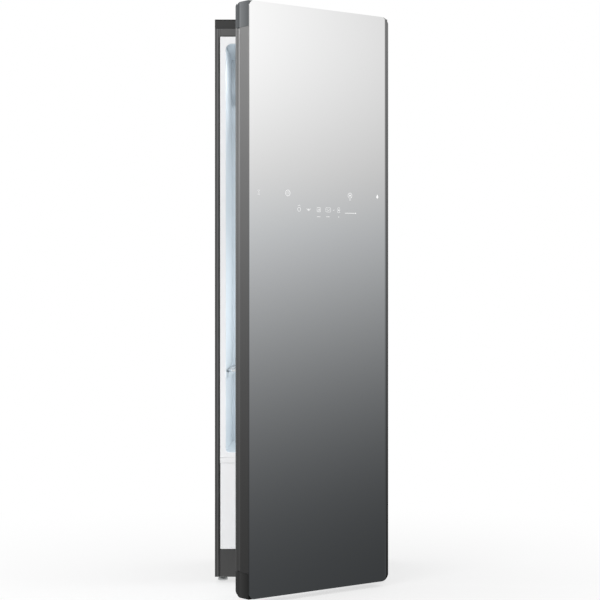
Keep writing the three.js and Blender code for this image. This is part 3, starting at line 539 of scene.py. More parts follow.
class Forms:
    """Solid forms in the drawing's millimetres that make up one piece of a body, or its holes."""

    def __init__(self, body="cabinet"):
        self.mesh = bmesh.new()
        self.body = body
        self.at = DOOR if body in ("door", "press_cover") else CABINET

    def skin(self, rings, ring_closed=False):
        """Joins a row of rings of points. Without ring_closed, its two ends are capped."""
        rows = [[self.mesh.verts.new(p) for p in ring] for ring in rings]
        pairs = list(zip(rows, rows[1:])) + ([(rows[-1], rows[0])] if ring_closed else [])
        for low, high in pairs:
            count = len(low)
            for i in range(count):
                j = (i + 1) % count
                self.mesh.faces.new((low[i], low[j], high[j], high[i]))
        if not ring_closed:
            self.mesh.faces.new(rows[0][::-1])
            self.mesh.faces.new(rows[-1])

    def block(self, low, high):
        (x0, y0, z0), (x1, y1, z1) = low, high
        self.prism([(x0, y0), (x1, y0), (x1, y1), (x0, y1)], z0, z1)

    def prism(self, outline, low, high, along="Z"):
        """A flat outline carried from one height to another along an axis."""
        self.skin([[axis_point(a, b, h, along) for a, b in outline] for h in (low, high)])

    def band(self, outer, inner, low, high, along="Z"):
        """A flat ring between two outlines of equally many points."""
        rings = [(outer, low), (outer, high), (inner, high), (inner, low)]
        self.skin([[axis_point(a, b, h, along) for a, b in line] for line, h in rings], True)

    def turned(self, profile, origin, direction=UP, sides=32):
        """A lathe form of (radius, height) pairs, from one closed end to the other."""
        turn = Vector(UP).rotation_difference(Vector(direction)).to_matrix()
        origin = Vector(origin)
        rings = []
        for radius, height in profile:
            ring = ring_points(0, 0, radius, sides)
            rings.append([origin + turn @ Vector((x, y, height)) for x, y in ring])
        self.skin(rings)

    def rod(self, start, end, radius, sides=24):
        run = Vector(end) - Vector(start)
        edge = min(radius * 0.15, run.length * 0.2)
        profile = [(radius - edge, 0), (radius, edge)]
        profile += [(radius, run.length - edge), (radius - edge, run.length)]
        self.turned(profile, start, run.normalized(), sides)

    def tube(self, points, radius, sides=12, closed=False):
        self.swept(points, ring_points(0, 0, radius, sides), closed)

    def swept(self, points, section, closed=False, across=None):
        """Carries a section along a line. across is a fixed direction of the section."""
        points = [Vector(p) for p in points]
        count = len(points)
        side = None
        rings = []
        for i, point in enumerate(points):
            ahead = points[(i + 1) % count] if closed or i + 1 < count else point
            behind = points[i - 1] if closed or i else point
            along = (ahead - behind).normalized()
            if across is not None:
                side = Vector(across)
            elif side is None:
                guess = Vector(UP if abs(along.z) < 0.9 else TO_RIGHT)
                side = along.cross(guess)
            side = (side - along * side.dot(along)).normalized()
            other = along.cross(side)
            rings.append([point + side * a + other * b for a, b in section])
        self.skin(rings, closed)

    def shape(self, name):
        bmesh.ops.recalc_face_normals(self.mesh, faces=self.mesh.faces)
        bmesh.ops.transform(self.mesh, matrix=self.at, verts=self.mesh.verts)
        mesh = bpy.data.meshes.new(name)
        self.mesh.to_mesh(mesh)
        self.mesh.free()
        return mesh

    def piece(self, name, slot, finish, edge=0.0, segments=2, holes=None):
        obj = make(name, self.shape(name), self.body, slot, finish)
        if holes:
            holes.cut_from(obj)
        soften(obj, edge, segments)
        return obj

    def cut_from(self, obj):
        """Cuts these forms out of a piece."""
        cutter = add("cutter", self.shape("cutter"))
        saw = obj.modifiers.new("saw", "BOOLEAN")
        saw.operation = "DIFFERENCE"
        saw.solver = "EXACT"
        saw.use_self = True
        saw.object = cutter
        settle(obj)
        bpy.data.objects.remove(cutter)


def axis_point(a, b, h, along):
    return {"X": (h, a, b), "Y": (a, h, b), "Z": (a, b, h)}[along]


def polar(cx, cy, radius, angle):
    return cx + radius * math.cos(angle), cy + radius * math.sin(angle)


def rounded(x, y, half_width, half_height, radius, steps=3):
    """Points round a rectangle with rounded corners, from its middle and half its size."""
    points = []
    for side, end, start in ((1, -1, -90), (1, 1, 0), (-1, 1, 90), (-1, -1, 180)):
        middle = x + side * (half_width - radius), y + end * (half_height - radius)
        points += arc_points(*middle, radius, start, start + 90, steps)
    return points


def ring_points(cx, cy, radius, count=24):
    return [polar(cx, cy, radius, 2 * math.pi * i / count) for i in range(count)]


def arc_points(cx, cy, radius, start, end, count):
    angles = [math.radians(start + (end - start) * i / count) for i in range(count + 1)]
    return [polar(cx, cy, radius, angle) for angle in angles]


def bend(start, control, end, count=10):
    """Points of a curve from start to end that is drawn towards control."""
    points = []
    for i in range(count + 1):
        t = i / count
        shares = ((1 - t) ** 2, 2 * t * (1 - t), t * t)
        sides = zip(start, control, end)
        points.append(tuple(sum(w * p for w, p in zip(shares, side)) for side in sides))
    return points


def span(low, high, count):
    """Evenly spaced values, both ends included."""
    return [low + (high - low) * i / (count - 1) for i in range(count)]


def screws(name, spots, direction, radius=4.0, proud=0.44):
    """Round screw heads with a recess, standing on the given spots. proud is their height as a
    share of the radius."""
    work = Forms()
    crown = [(1, 0.25), (0.86, 0.72), (0.5, 0.95), (0.28, 1)]
    top = proud * radius
    recess = top - 0.6
    head = [(TIP, -1), (radius, -1)] + [(share * radius, up * top) for share, up in crown]
    for spot in spots:
        work.turned(head + [(0.2 * radius, recess), (TIP, recess)], spot, direction, 20)
    work.piece(name, "bright_steel", "zinc")


# ---------------- shell and frame

def shell():
    for node in ("side_panel_left", "side_panel_right", "top_panel"):
        reshape(node, "dark_steel", 0.6, "shell_steel")
    for node in ("stile_left", "stile_right"):
        reshape(node, "stile_grey", 0.35, "frame_steel")
    reshape("header_rail", "stile_grey", 0.6, "header_steel")
    reshape("top_rail", "rail_dark", 0.6, "rail_steel")
    reshape("plinth", "rail_dark", 0.9, "plinth_steel")
    reshape("base_pan", "dark_steel", 0.4, "zinc")
    back_panel()
    power_inlet()
    for node in ("hinge_bracket_upper", "hinge_bracket_lower"):
        reshape(node, "dark_steel", 0.5, "zinc")
    spots = [(x, -4.3, z) for x in (206, 246) for z in (33, 1939)]
    screws("hinge_screws", spots, (0, -1, 0), 3.4, proud=0.1)
    feet()


def back_panel():
    """The zinc back with its vents, and screws sunk level with it."""
    holes = Forms()
    outside = BACK_FACE + 10
    for x in (-190, -110, 60, 140):
        for z in span(270, 382, 9):
            holes.prism(rounded(x, z, 28, 2.5, 2.4), BACK_FACE - 10, outside, "Y")
    spots = [(x, BACK_FACE - 1.1, z) for x in (-292, 292) for z in span(60, 1920, 6)]
    spots += [(x, BACK_FACE - 1.1, z) for x in (-150, 0, 150) for z in (30, 1948)]
    for x, y, z in spots:
        holes.prism(ring_points(x, z, 4.4, 20), y, outside, "Y")
    reshape("back_panel", "dark_steel", 0.4, "zinc", holes=holes, hole_edge=0.15)
    screws("back_screws", spots, TO_BACK, proud=0.24)


def power_inlet():
    reshape("power_inlet", "black_plastic", 0.8, "black_plastic")
    pins = Forms()
    for x, z in ((193, 72), (207, 72), (200, 80)):
        pins.block((x - 1, 499.5, z - 2.4), (x + 1, 515, z + 2.4))
    pins.piece("inlet_pins", "bright_steel", "brass", edge=0.4)


def feet():
    """Levelling feet: a shaped disc, a hexagon for the spanner and a threaded stem."""
    disc = [(TIP, 0), (15.8, 0), (17.2, 0.8), (17.5, 2.2), (17.5, 5.6), (17.1, 6.9)]
    disc += [(15, 8.8), (13.4, 9.6), (9, 10), (TIP, 10)]
    stem = [(TIP, 15), (5.1, 15)]
    for z in span(16, 46, 25):
        stem += [(5.1, z), (5.95, z + 0.6)]
    stem += [(4.6, 47.9), (TIP, 48)]
    for end, y in (("front", 56), ("back", 480)):
        for side, x in (("left", -275), ("right", 275)):
            node = f"foot_{end}_{side}"
            foot = Forms(node)
            foot.turned(disc, (x, y, 0), sides=48)
            foot.prism(ring_points(x, y, 9.2, 6), 9.5, 15.5)
            foot.turned(stem, (x, y, 0), sides=24)
            obj = foot.piece("levelling_" + node, "foot_chrome", "foot_metal", edge=0.3)
            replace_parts(obj, node)


# ---------------- cavity

def cavity():
    for node in ("liner_left", "liner_right", "liner_back", "liner_ceiling", "liner_floor"):
        reshape(node, "white_liner", 0.5, "cavity_white")
    reshape("front_flange", "white_liner", 1.3, "white_liner", segments=3)
    reshape("service_header", "white_trim", 0.9, "white_panel")
    reshape("cabinet_insulation", "foam", 0, "foam")
    liner_ribs()
    cavity_light()
    return_grille()
    lift_out("lint_filter", "black_plastic", -110, 170, 54, "black_plastic", True)
    lift_out("aroma_cartridge", "white_trim", 110, 74, 44, "moulding", False)
    steam_outlet()
    wire_shelf()
    hanger_drive()
    for i, x in enumerate((-130, 40)):
        hanger(f"hanger_{i + 1}", x)


def liner_ribs():
    """Shallow upright ribs pressed into the rear wall, with a cross rib above and below them."""
    ribs = Forms()
    foot = REAR_WALL + 0.2
    section = [(-3, 1), (-2.2, -1.6), (-1, -2.6), (1, -2.6), (2.2, -1.6), (3, 1)]
    for x in span(-200, 200, 9):
        ribs.prism([(x + a, foot + b) for a, b in section], 790, 1780)
    for z in (774, 1796):
        ribs.prism([(foot + b, z + a) for a, b in section], -214, 214, "X")
    ribs.piece("rear_wall_ribs", "white_liner", "cavity_white", edge=0.6)


def cavity_light():
    """A white bezel round a frosted lens with fine ribs."""
    outer, inner = rounded(0, 37, 150, 13, 7, 8), rounded(0, 37, 144.5, 7.5, 4, 8)
    bezel = Forms()
    bezel.band(outer, inner, CAVITY_CEILING - 8, CAVITY_CEILING - SEAM)
    bezel.piece("lamp_bezel", "white_trim", "white_panel", edge=1.0, segments=3)
    end, top, low, rise, pitch = 144, 1874.5, 1869.4, 0.7, 4
    outline = [(-end, top)]
    for x in span(-end, end, 289):
        outline.append((x, low + rise * abs(math.sin(math.pi * (x + end) / pitch))))
    lens = Forms()
    lens.prism(outline + [(end, top)], 29.8, 44.2, "Y")
    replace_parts(lens.piece("lamp_lens", "lamp_lens", "lens"), "cavity_light")


def return_grille():
    reshape("return_grille", "white_trim", 0.5, "white_panel")
    bars = Forms()
    for x in span(-160, 160, 9):
        bars.block((x - 1.2, 40, CAVITY_FLOOR + 0.8), (x + 1.2, 98, CAVITY_FLOOR + 3))
    bars.piece("grille_crossbars", "white_trim", "white_panel", edge=0.4)


def lift_out(name, look, centre, length, drop, finish, filtered):
    """A filter or cartridge: a rounded flange, a body below the floor and a finger loop. The
    filter's body is an open frame with gauze, and the cartridge's is three closed blocks."""
    half, depth, half_depth = length / 2, 140, 13
    seat, low, high = CAVITY_FLOOR + SEAM, CAVITY_FLOOR + SEAM - drop, CAVITY_FLOOR + 1
    front, rear = depth - half_depth, depth + half_depth
    work = Forms(name)
    work.prism(rounded(centre, depth, half + 5, 18, 5, 5), seat, seat + 3)
    outer, inner = (arc_points(centre, CAVITY_FLOOR + 2, r, 0, 180, 18) for r in (16.2, 10.5))
    work.prism(outer + inner[::-1], depth - 3, depth + 3, "Y")
    if filtered:
        for z0, z1 in ((low, low + 5), (high - 6, high)):
            work.block((centre - half, front, z0), (centre + half, rear, z1))
        for x in span(centre - half + 2, centre + half - 2, 6):
            work.block((x - 2, front, low), (x + 2, rear, high))
    else:
        for x0, x1 in ((-half, -half + 22), (-half + 24, half - 24), (half - 22, half)):
            work.block((centre + x0, front, low), (centre + x1, rear, high))
        work.block((centre - half + 2, front + 2, low + 2), (centre + half - 2, rear - 2, high))
    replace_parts(work.piece(name + "_frame", look, finish, edge=0.8), name)
    extra = Forms(name)
    if filtered:
        for y in (front + 1.4, rear - 2):
            extra.block((centre - half + 1, y, low + 1), (centre + half - 1, y + 0.6, high - 3))
        extra.piece(name + "_gauze", look, "gauze")
    else:
        for side in (-1, 1):
            for i in range(4):
                x = centre + side * (20 + i * 5)
                extra.prism(rounded(x, depth, 1, 11, 0.9), seat + 2.7, seat + 3.15)
        extra.piece(name + "_vents", look, "tank_cap")


def steam_outlet():
    """A stepped dome with a ring of small nozzles, and the ribbed hose below it."""
    x, y, base = 150, 415, CAVITY_FLOOR + SEAM
    dome = Forms()
    profile = [
        (TIP, 0), (33.4, 0), (34, 0.6), (34, 2.6), (33, 3.4), (33, 8), (31.4, 9.8), (30.4, 9.5),
        (30, 11), (27.4, 15.6), (26.4, 15.3), (25.8, 17), (22.4, 20.6), (21.6, 20.2),
        (20.6, 21.8), (13.8, 24.7), (13, 24.1), (11.6, 25.2), (4, 26), (TIP, 26),
    ]
    dome.turned(profile, (x, y, base), sides=48)
    obj = dome.piece("steam_dome", "black_plastic", "black_plastic", edge=0.3)
    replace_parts(obj, "steam_outlet")
    tips = Forms()
    nozzle = [(TIP, 0), (2.4, 0), (2.4, 5), (1.5, 6), (1.2, 4), (TIP, 4)]
    for i in range(8):
        angle = 2 * math.pi * (i + 0.5) / 8
        out = Vector((*polar(0, 0, 1, angle), 1.1)).normalized()
        tips.turned(nozzle, (*polar(x, y, 24, angle), base + 13), out, 14)
    tips.piece("steam_nozzle_tips", "bright_steel", "chrome")
    hose = Forms()
    ribs = [(TIP, 147.8)]
    for z in span(148, 448, 51):
        ribs += [(9.6, z), (10.9, z + 1.8), (10.9, z + 3.2)]
    hose.turned(ribs + [(9.6, base + SEAM), (TIP, base + SEAM)], (x, y, 0), sides=20)
    hose.piece("steam_hose", "black_plastic", "dark_rubber")


def wire_shelf():
    """A shelf of chromed wire: a heavy border, three bearers and thin wires that bend down over
    the border in front and behind."""
    work = Forms("shelf")
    middle, half_depth = 245, 180
    rim = rounded(0, middle, 256, half_depth, 14, 8)
    work.tube([(x, y, 734.2) for x, y in rim], 4.8, 14, True)
    for y in (150, middle, 340):
        work.rod((-254, y, 736.2), (254, y, 736.2), 2.6, 12)
    end = [(half_depth + 3.4, 734.5), (half_depth + 2, 738.2), (half_depth - 2, 739.6)]
    end += [(half_depth - 7, 739.8)]
    wire = [(middle - reach, z) for reach, z in end]
    wire += [(middle + reach, z) for reach, z in end[::-1]]
    for x in span(-240, 240, 25):
        work.tube([(x, y, z) for y, z in wire], 1.5, 8)
    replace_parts(work.piece("wire_shelf", "bright_steel", "chrome"), "shelf")


def hanger_drive():
    reshape("hanger_bar", "bright_steel", 0.8, "chrome")
    cap = [(TIP, 0), (9.7, 0), (10, 0.6), (10, 6), (9.3, 7.6), (6, 8.8), (TIP, 9.2)]
    sleeve = [(TIP, 0), (10.5, 0), (11, 1), (11, 9), (9, 12), (7.4, 14), (TIP, 14)]
    ends = Forms("hanger_bar")
    collars = Forms("hanger_bar")
    for side in (-1, 1):
        ends.turned(cap, (side * 213.4, BAR_DEPTH, BAR_HEIGHT), (side, 0, 0))
        collars.turned(sleeve, (side * 120, BAR_DEPTH, BAR_HEIGHT + 6))
    ends.piece("bar_end_caps", "black_plastic", "grey_plastic")
    collars.piece("bar_collars", "bright_steel", "zinc")
    reshape("crank_disc", "bright_steel", 0.6, "chrome")
    reshape("drive_motor", "machine_black", 0.8, "machine")
    motor_plate = 1903.8
    outer, inner = (ring_points(0, BAR_DEPTH, radius, 40) for radius in (26.8, 25))
    rings = Forms()
    for z in span(1908, 1931, 5):
        rings.band(outer, inner, z, z + 1.6)
    rings.block((20, BAR_DEPTH - 13, motor_plate), (29, BAR_DEPTH + 13, 1924))
    rings.piece("motor_ribs", "machine_black", "machine", edge=0.3)
    screws("motor_screws", [(x, y, motor_plate) for x in (-23, 23) for y in (172, 298)], UP)


def hanger(name, x):
    """A contoured plastic hanger, with strap notches and a chromed swivel hook."""
    top, tip, shoulder, dip = 1754.5, (188, 1665.5), (180.5, 1685), (0, 1706.5)
    line = bend((-tip[0], tip[1]), (-103.4, 1674.5), dip, 14)
    line += bend(dip, (103.4, 1674.5), tip, 14)[1:]
    end = bend(tip, (191.8, 1680.5), shoulder, 5)[1:]
    upper = bend(shoulder, (75.2, 1742.5), (4.4, top), 14)
    line += end + upper[1:]
    line += [(-y, z) for y, z in upper[::-1] + end[-2::-1]]
    work = Forms(name)
    work.prism([(BAR_DEPTH + y, z) for y, z in line], x - 6, x + 6, "X")
    notches = Forms()
    for side in (-1, 1):
        notches.prism(ring_points(BAR_DEPTH + side * 115, 1721, 5.5, 16), x - 9, x + 9, "X")
    obj = work.piece(
        name + "_arms", "hanger_white", "hanger", edge=3.4, segments=4, holes=notches
    )
    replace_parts(obj, name)
    wire = [(-y, z) for y, z in arc_points(0, 0, 11.5, -50, 200, 24)]
    wire += bend((10.8, -4), (8, -12), (1, -20), 6)[1:]
    wire += [(0, -26), (0, top - 8 - BAR_HEIGHT)]
    hook = Forms(name)
    hook.tube([(x, BAR_DEPTH + y, BAR_HEIGHT + z) for y, z in wire], 2.2)
    hook.piece(name + "_hook", "bright_steel", "chrome")
    profile = [(TIP, -3), (5.6, -3), (5.6, 1), (4.4, 3.4), (3.4, 6), (TIP, 6)]
    collar = Forms(name)
    collar.turned(profile, (x, BAR_DEPTH, top), sides=24)
    collar.piece(name + "_swivel", "bright_steel", "zinc")


# ---------------- water tanks and machines

def tanks():
    """Clear tanks with a white front, a scale on the right and a ribbed lid."""
    behind_front = (CABINET @ Vector((0, 12.4, 0))).y
    for kind, left in (("supply", -280.7), ("drain", -114.2)):
        name = kind + "_tank"
        reshape(name, "tank_plastic", 0.9, "white_panel", "tank",
                pick=lambda middle, normal: int(middle.y > behind_front))
        side = left + 161.8
        marks = Forms(name)
        for i, z in enumerate(span(145, 315, 18)):
            marks.block((side, 60, z - 0.5), (side + 0.5, 69 if i % 4 else 76, z + 0.5))
        marks.piece(name + "_scale", "tank_lid", "tank_cap")
        reshape(name + "_lid", "tank_lid", 1.0, "tank_cap")
        grip = Forms(kind + "_lid")
        for x, y in ring_points(left + 90, 78.4, 21):
            grip.rod((x, y, 350.5), (x, y, 361), 1.1, 8)
        grip.piece(name + "_cap_ribs", "tank_lid", "tank_cap")
    reshape("tank_bay", "dark_steel", 0.4, "zinc")
    reshape("service_cover", "white_trim", 0.9, "white_panel", segments=3)


def machines():
    compressor()
    for node, left in (("condenser", -96), ("evaporator", 40)):
        coil(node, left)
    blower()
    steam_generator()
    control_box()


def compressor():
    reshape("compressor", "machine_black", 1.2, "machine", segments=3)
    x, y, pipe_height = -200, 330, 196
    extras = Forms()
    extras.tube([(*point, 112) for point in ring_points(x, y, 62.4, 64)], 2.2, 8, True)
    extras.prism(rounded(x + 48, y - 47, 12, 11, 4, 8), 60, 104)
    extras.piece("compressor_seam_and_box", "machine_black", "machine", edge=0.6)
    grommet = [(TIP, 0), (8, 0), (8, 3), (6, 4.2), (6, 6), (8, 7.2), (8, 10), (TIP, 10)]
    grommets = Forms()
    for spot in [(x + a, y + b) for a in (-55, 55) for b in (-55, 55)]:
        grommets.turned(grommet, (*spot, MACHINE_FLOOR + 4), sides=20)
    grommets.piece("compressor_grommets", "black_plastic", "dark_rubber")
    line = bend((18, 166), (18, pipe_height), (44, pipe_height)) + [(50, pipe_height)]
    joint = [(TIP, 0), (5.4, 0), (5.4, 5), (4.2, 7), (TIP, 7)]
    pipes = Forms()
    for side in (-1, 1):
        pipes.tube([(x + side * reach, y, z) for reach, z in line], 4)
        pipes.turned(joint, (x + side * 48, y, pipe_height), (side, 0, 0), 14)
    pipes.piece("compressor_pipes", "exchanger", "copper")


def coil(node, left):
    """A finned coil: thin upright fins between end plates, with the tube looping through them."""
    low, high, front, rear = MACHINE_FLOOR, MACHINE_FLOOR + 190, 250, 310
    right = left + 116
    fins = Forms()
    for x in span(left + 3, right - 3, 46):
        fins.block((x - 0.35, front + 1.5, low + 1), (x + 0.35, rear - 1, high - 1))
    for x in (left, right - 1.6):
        fins.block((x, front, low), (x + 1.6, rear, high))
    for z in (low, high - 1.5):
        fins.block((left, front, z), (right, rear, z + 1.5))
    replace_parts(fins.piece(node + "_fins", "exchanger", "aluminium"), node)
    rows = span(low + 16, high - 16, 8)
    half_step = (rows[1] - rows[0]) / 2
    turns = [math.pi * k / 10 for k in range(11)]
    tubes = Forms()
    for y in (265, 280, 295):
        for z in rows:
            tubes.rod((left - 1, y, z), (right + 1, y, z), 3.6, 12)
        for i, z in enumerate(rows[:-1]):
            end, reach = (right, 6) if i % 2 else (left, -6)
            rise = [(end + reach * math.sin(a), z + half_step * (1 - math.cos(a))) for a in turns]
            tubes.tube([(x, y, height) for x, height in rise], 3.4, 10)
    tubes.piece(node + "_tubes", "exchanger", "copper")


def blower():
    """Ribs round the blower's mouth, its motor, and a wheel of thirty curved blades."""
    reshape("blower_housing", "black_plastic", 0.8, "black_plastic")
    x, z = 150, 300
    trim = Forms()
    trim.tube([(a, 28, b) for a, b in ring_points(x, z, 48, 56)], 2.4, 10, True)
    section = [(-1, -1.2), (1, -1.2), (1, 1.2), (-1, 1.2)]
    for i in range(10):
        rib = [polar(x, z, radius, 2 * math.pi * (i + 0.5) / 10) for radius in (52, 74)]
        trim.swept([(a, 27.2, b) for a, b in rib], section, across=TO_BACK)
    trim.piece("blower_mouth", "black_plastic", "black_plastic")
    can = [(TIP, 0), (27, 0), (27, 3), (25, 4), (25, 18), (23, 20), (9, 21), (8, 24), (TIP, 24)]
    motor = Forms()
    motor.turned(can, (x, 111.8, z), TO_BACK)
    motor.piece("blower_motor", "machine_black", "machine")
    hub = [(TIP, 0), (14, 0), (17, 3), (18, 20), (18, 66), (8, 68), (8, 69.6), (TIP, 69.6)]
    wheel = Forms("blower_wheel")
    wheel.band(ring_points(x, z, 62, 48), ring_points(x, z, 49, 48), 39.3, 42.3, "Y")
    wheel.prism(ring_points(x, z, 61.6, 48), 98, 101, "Y")
    wheel.turned(hub, (x, 39, z), TO_BACK)
    thickness, sweep = 0.03, 0.016
    for i in range(30):
        start = 2 * math.pi * i / 30
        near, far = (
            [polar(x, z, 49.5 + 2.4 * k, side + sweep * k * k) for k in range(6)]
            for side in (start, start + thickness)
        )
        wheel.prism(near + far[::-1], 41, 99, "Y")
    obj = wheel.piece("blower_cage_wheel", "black_plastic", "grey_plastic")
    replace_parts(obj, "impeller")


def steam_generator():
    reshape("steam_generator", "bright_steel", 2.0, "zinc", segments=3)
    outer = rounded(425, 76.45, 55.8, 55.65, 3, 4)
    inner = rounded(425, 76.45, 54.8, 54.65, 2, 4)
    straps = Forms()
    for x in (112, 188):
        straps.band(outer, inner, x - 6, x + 6, "X")
    straps.piece("generator_straps", "bright_steel", "aluminium")
    terminal = [(TIP, 0), (6, 0), (6, 4), (2.2, 4), (2.2, 13), (TIP, 13)]
    valve = [(TIP, 0), (7, 0), (7, 8), (5, 9), (5, 14), (TIP, 14)]
    posts = Forms()
    for x in (130, 150, 170):
        posts.turned(terminal, (x, 371, 70), (0, -1, 0), 6)
    posts.turned(valve, (110, 440, 130), sides=6)
    posts.piece("generator_fittings", "exchanger", "brass")


def control_box():
    reshape("control_box", "black_plastic", 1.5, "black_plastic")
    sockets = Forms()
    for y in span(295, 375, 4):
        sockets.block((-122, y - 9, 300), (-112, y + 9, 314))
    sockets.piece("control_sockets", "white_trim", "white_panel", edge=0.6)
    vents = Forms()
    for y in span(290, 390, 9):
        vents.prism(rounded(-207.5, y, 62.5, 2, 1.9), 379.6, 381.2)
    vents.piece("control_vents", "black_plastic", "grey_plastic", edge=0.3)


# ---------------- door

def door():
    outward = (DOOR.to_3x3() @ Vector((0, -1, 0))).normalized()
    reshape("door_glass", "mirror_glass", 0.45, "mirror", "door_side",
            pick=lambda middle, normal: int(normal.dot(outward) < 0.9))
    reshape("door_grip_rail", "door_side", 0.6, "door_side")
    for node in ("door_cap_top", "door_cap_bottom"):
        reshape(node, "door_cap", 0.8, "door_cap")
    edge_strip()
    reshape("door_hinge_post", "door_side", 0.4, "door_trim")
    reshape("door_insulation", "foam", 0, "foam")
    reshape("door_liner", "white_liner", 2.5, "door_white", segments=4)
    half = [(-1, -10), (2.2, -8), (3.9, -5), (4.4, -2)]
    rim = Forms("door")
    path = [(x, DOOR_BACK, z) for x, z in rounded(0, LINER_MIDDLE, 236, 684, 34, 12)]
    rim.swept(path, half + [(a, -b) for a, b in half[::-1]], True, TO_BACK)
    rim.piece("door_liner_rim", "white_liner", "door_white")
    seal()
    touch_board()
    touch_marks()
    press()


def edge_strip():
    """A thin strip behind the free edge in the grip's grey, with ends in that of the caps."""
    near, far = DOOR_BACK - 0.4, DOOR_BACK + 5.4
    low, high = DOOR_BOTTOM + CAP_LENGTH, DOOR_TOP - CAP_LENGTH
    low_end = [(near, DOOR_BOTTOM + 9), (far, DOOR_BOTTOM + 19), (far, low), (near, low)]
    high_end = [(near, high), (far, high), (far, DOOR_TOP - 12), (near, DOOR_TOP - 4)]
    low, high = low + SEAM, high - SEAM
    middle = [(near, low), (far, low), (far, high), (near, high)]
    for name, look, outlines in (
        ("door_edge_strip", "door_side", [middle]),
        ("door_edge_strip_ends", "door_cap", [low_end, high_end]),
    ):
        work = Forms("door")
        for outline in outlines:
            work.prism(outline, DOOR_LEFT, DOOR_LEFT + 2.4, "X")
        work.piece(name, look, look, edge=0.4)


def seal():
    """A bellows seal: a foot in the liner, two folds and the magnet's flat front."""
    half = [(-3, 6.4), (-1.9, 7), (-0.9, 6.4), (-0.5, 5.1), (-0.1, 5.1), (0.3, 6.5)]
    half += [(1.5, 7), (2.6, 6.6), (3, 5.6)]
    work = Forms("door")
    path = [(x, -4.7, z) for x, z in rounded(0, LINER_MIDDLE, 269, 719, 21, 12)]
    work.swept(path, [(a, -b) for a, b in half] + half[::-1], True, TO_BACK)
    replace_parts(work.piece("bellows_seal", "seal_rubber", "rubber"), "door_gasket")


def touch_board():
    reshape("touch_board", "board", 0.2, "board")
    chips = Forms("door")
    for x, z, reach, rise in (
        (-60, 1310, 7, 7), (10, 1300, 11, 5), (70, 1320, 6, 8), (104, 1280, 4, 15),
        (-100, 1285, 5, 12),
    ):
        chips.block((x - reach, -69.9, z - rise), (x + reach, -67.6, z + rise))
    chips.piece("touch_board_chips", "black_plastic", "black_plastic", edge=0.3)


MARK_LINES = (
    (1.8, (121, 1322.5), (128, 1322.5)),
    (1.2, (-100, 1296), (-95, 1298.5), (-90, 1296)),
    (1.5, (-63, 1288), (-54.9, 1281), (-46.8, 1288)),
    (1.2, (-15, 1282), (-9, 1290)),
    (1.6, (-8.6, 1281), (-8.6, 1288)),
    (1.2, (22, 1289), (28, 1283), (36, 1287)),
    (1.4, (50, 1286), (56, 1286)),
    (1.6, (102, 1277.2), (146, 1277.9)),
    (1.4, (-18.4, 1262.2), (-4.4, 1262.3)),
    (1.4, (21, 1263.2), (35.2, 1263.4)),
)
MARK_RINGS = (
    (1.4, -142.3, 1337.1, 9.6), (1.0, -142.3, 1337.1, 4.2), (1.5, 124.4, 1337.1, 8.6),
    (1.2, -95, 1285, 6.4),
)
MARK_BOXES = ((-11.4, 1285.9, 7.2, 7.2), (29.4, 1286.2, 10.4, 7.0), (74.9, 1286.5, 4.6, 8.4))
MARK_SPOTS = (
    (124.4, 1337.1, 3.2, 20), (-54.9, 1285.6, 2.2, 14), (74.9, 1286.5, 2.2, 14),
    (149.5, 1278, 2.2, 14), (74.9, 1263.3, 1.6, 12),
)
ARROWS = (-261.7, 1335.5)
DROP = (246.4, 1336)


def touch_marks():
    """Plain marks that light up behind the glass. A line or a ring starts with its width."""
    work = Forms("door")

    def ink(width, points, closed=True):
        half = width / 2
        section = [(-0.03, -half), (0.03, -half), (0.03, half), (-0.03, half)]
        path = [(x, DOOR_FRONT - 0.02, z) for x, z in points]
        work.swept(path, section, closed, TO_BACK)

    for width, *points in MARK_LINES:
        ink(width, points, closed=False)
    for width, x, z, radius in MARK_RINGS:
        ink(width, ring_points(x, z, radius, 28))
    for box in MARK_BOXES:
        ink(1.0, rounded(*box, 2.2, 4))
    x, z = ARROWS
    for side in (-1, 1):
        ink(1.3, [(x - 4, z + side * 7), (x + 4, z + side * 7), (x, z + side * 0.8)])
    x, z = DROP
    spots = [ring_points(*spot) for spot in MARK_SPOTS]
    spots.append([(x, z + 9.5)] + arc_points(x, z, 4.6, 35, -215, 16))
    for outline in spots:
        work.prism(outline, DOOR_FRONT - 0.05, DOOR_FRONT + 0.02, "Y")
    work.piece("touch_marks", "white_trim", "marks")


def press():
    """The trouser press: a tray with a quilted pad, and a slotted cover on a pin."""
    middle = 1100
    tray = Forms("door")
    tray.prism(rounded(-30, middle, 140, 380, 26, 8), DOOR_BACK + SEAM, -1.2, "Y")
    obj = tray.piece("press_tray", "white_trim", "moulding", edge=1.6, segments=3)
    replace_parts(obj, "press_base")
    pad = Forms("door")
    edges = span(middle - 370, middle + 370, 14)
    half_height = (edges[1] - edges[0]) / 2
    for low in edges[:-1]:
        rings = []
        for inset, rise in ((0, 0), (0.2, 1.6), (1, 2.9), (3, 3.8), (7, 4.3), (15, 4.5)):
            size = 130 - inset, half_height - inset, max(9 - inset / 2, 3)
            line = rounded(-30, low + half_height, *size, 6)
            rings.append([(x, -1.3 + rise, z) for x, z in line])
        pad.skin(rings)
    obj = pad.piece("press_pad", "press_pad", "pad")
    holes = Forms("door")
    holes.prism(rounded(-36, middle, 114, 358, 16, 8), 16.4, 24, "Y")
    for z in span(middle - 310, middle + 310, 21):
        for x in (-96, 24):
            holes.prism(rounded(x, z, 44, 2.2, 2.1), 0, 17, "Y")
    reshape("press_cover", "white_trim", 3.6, "moulding", segments=4, holes=holes, hole_edge=0.4)
    pin = Forms("press_cover")
    pin.rod((-170.4, 3.45, middle - 365), (-170.4, 3.45, middle + 365), 1.2, 12)
    pin.piece("press_hinge_pin", "bright_steel", "chrome")
    latch = Forms("press_cover")
    latch.prism(rounded(110.5, middle, 6.5, 18, 4, 5), 16.8, 18.6, "Y")
    latch.piece("press_latch", "tank_lid", "tank_cap", edge=0.6)


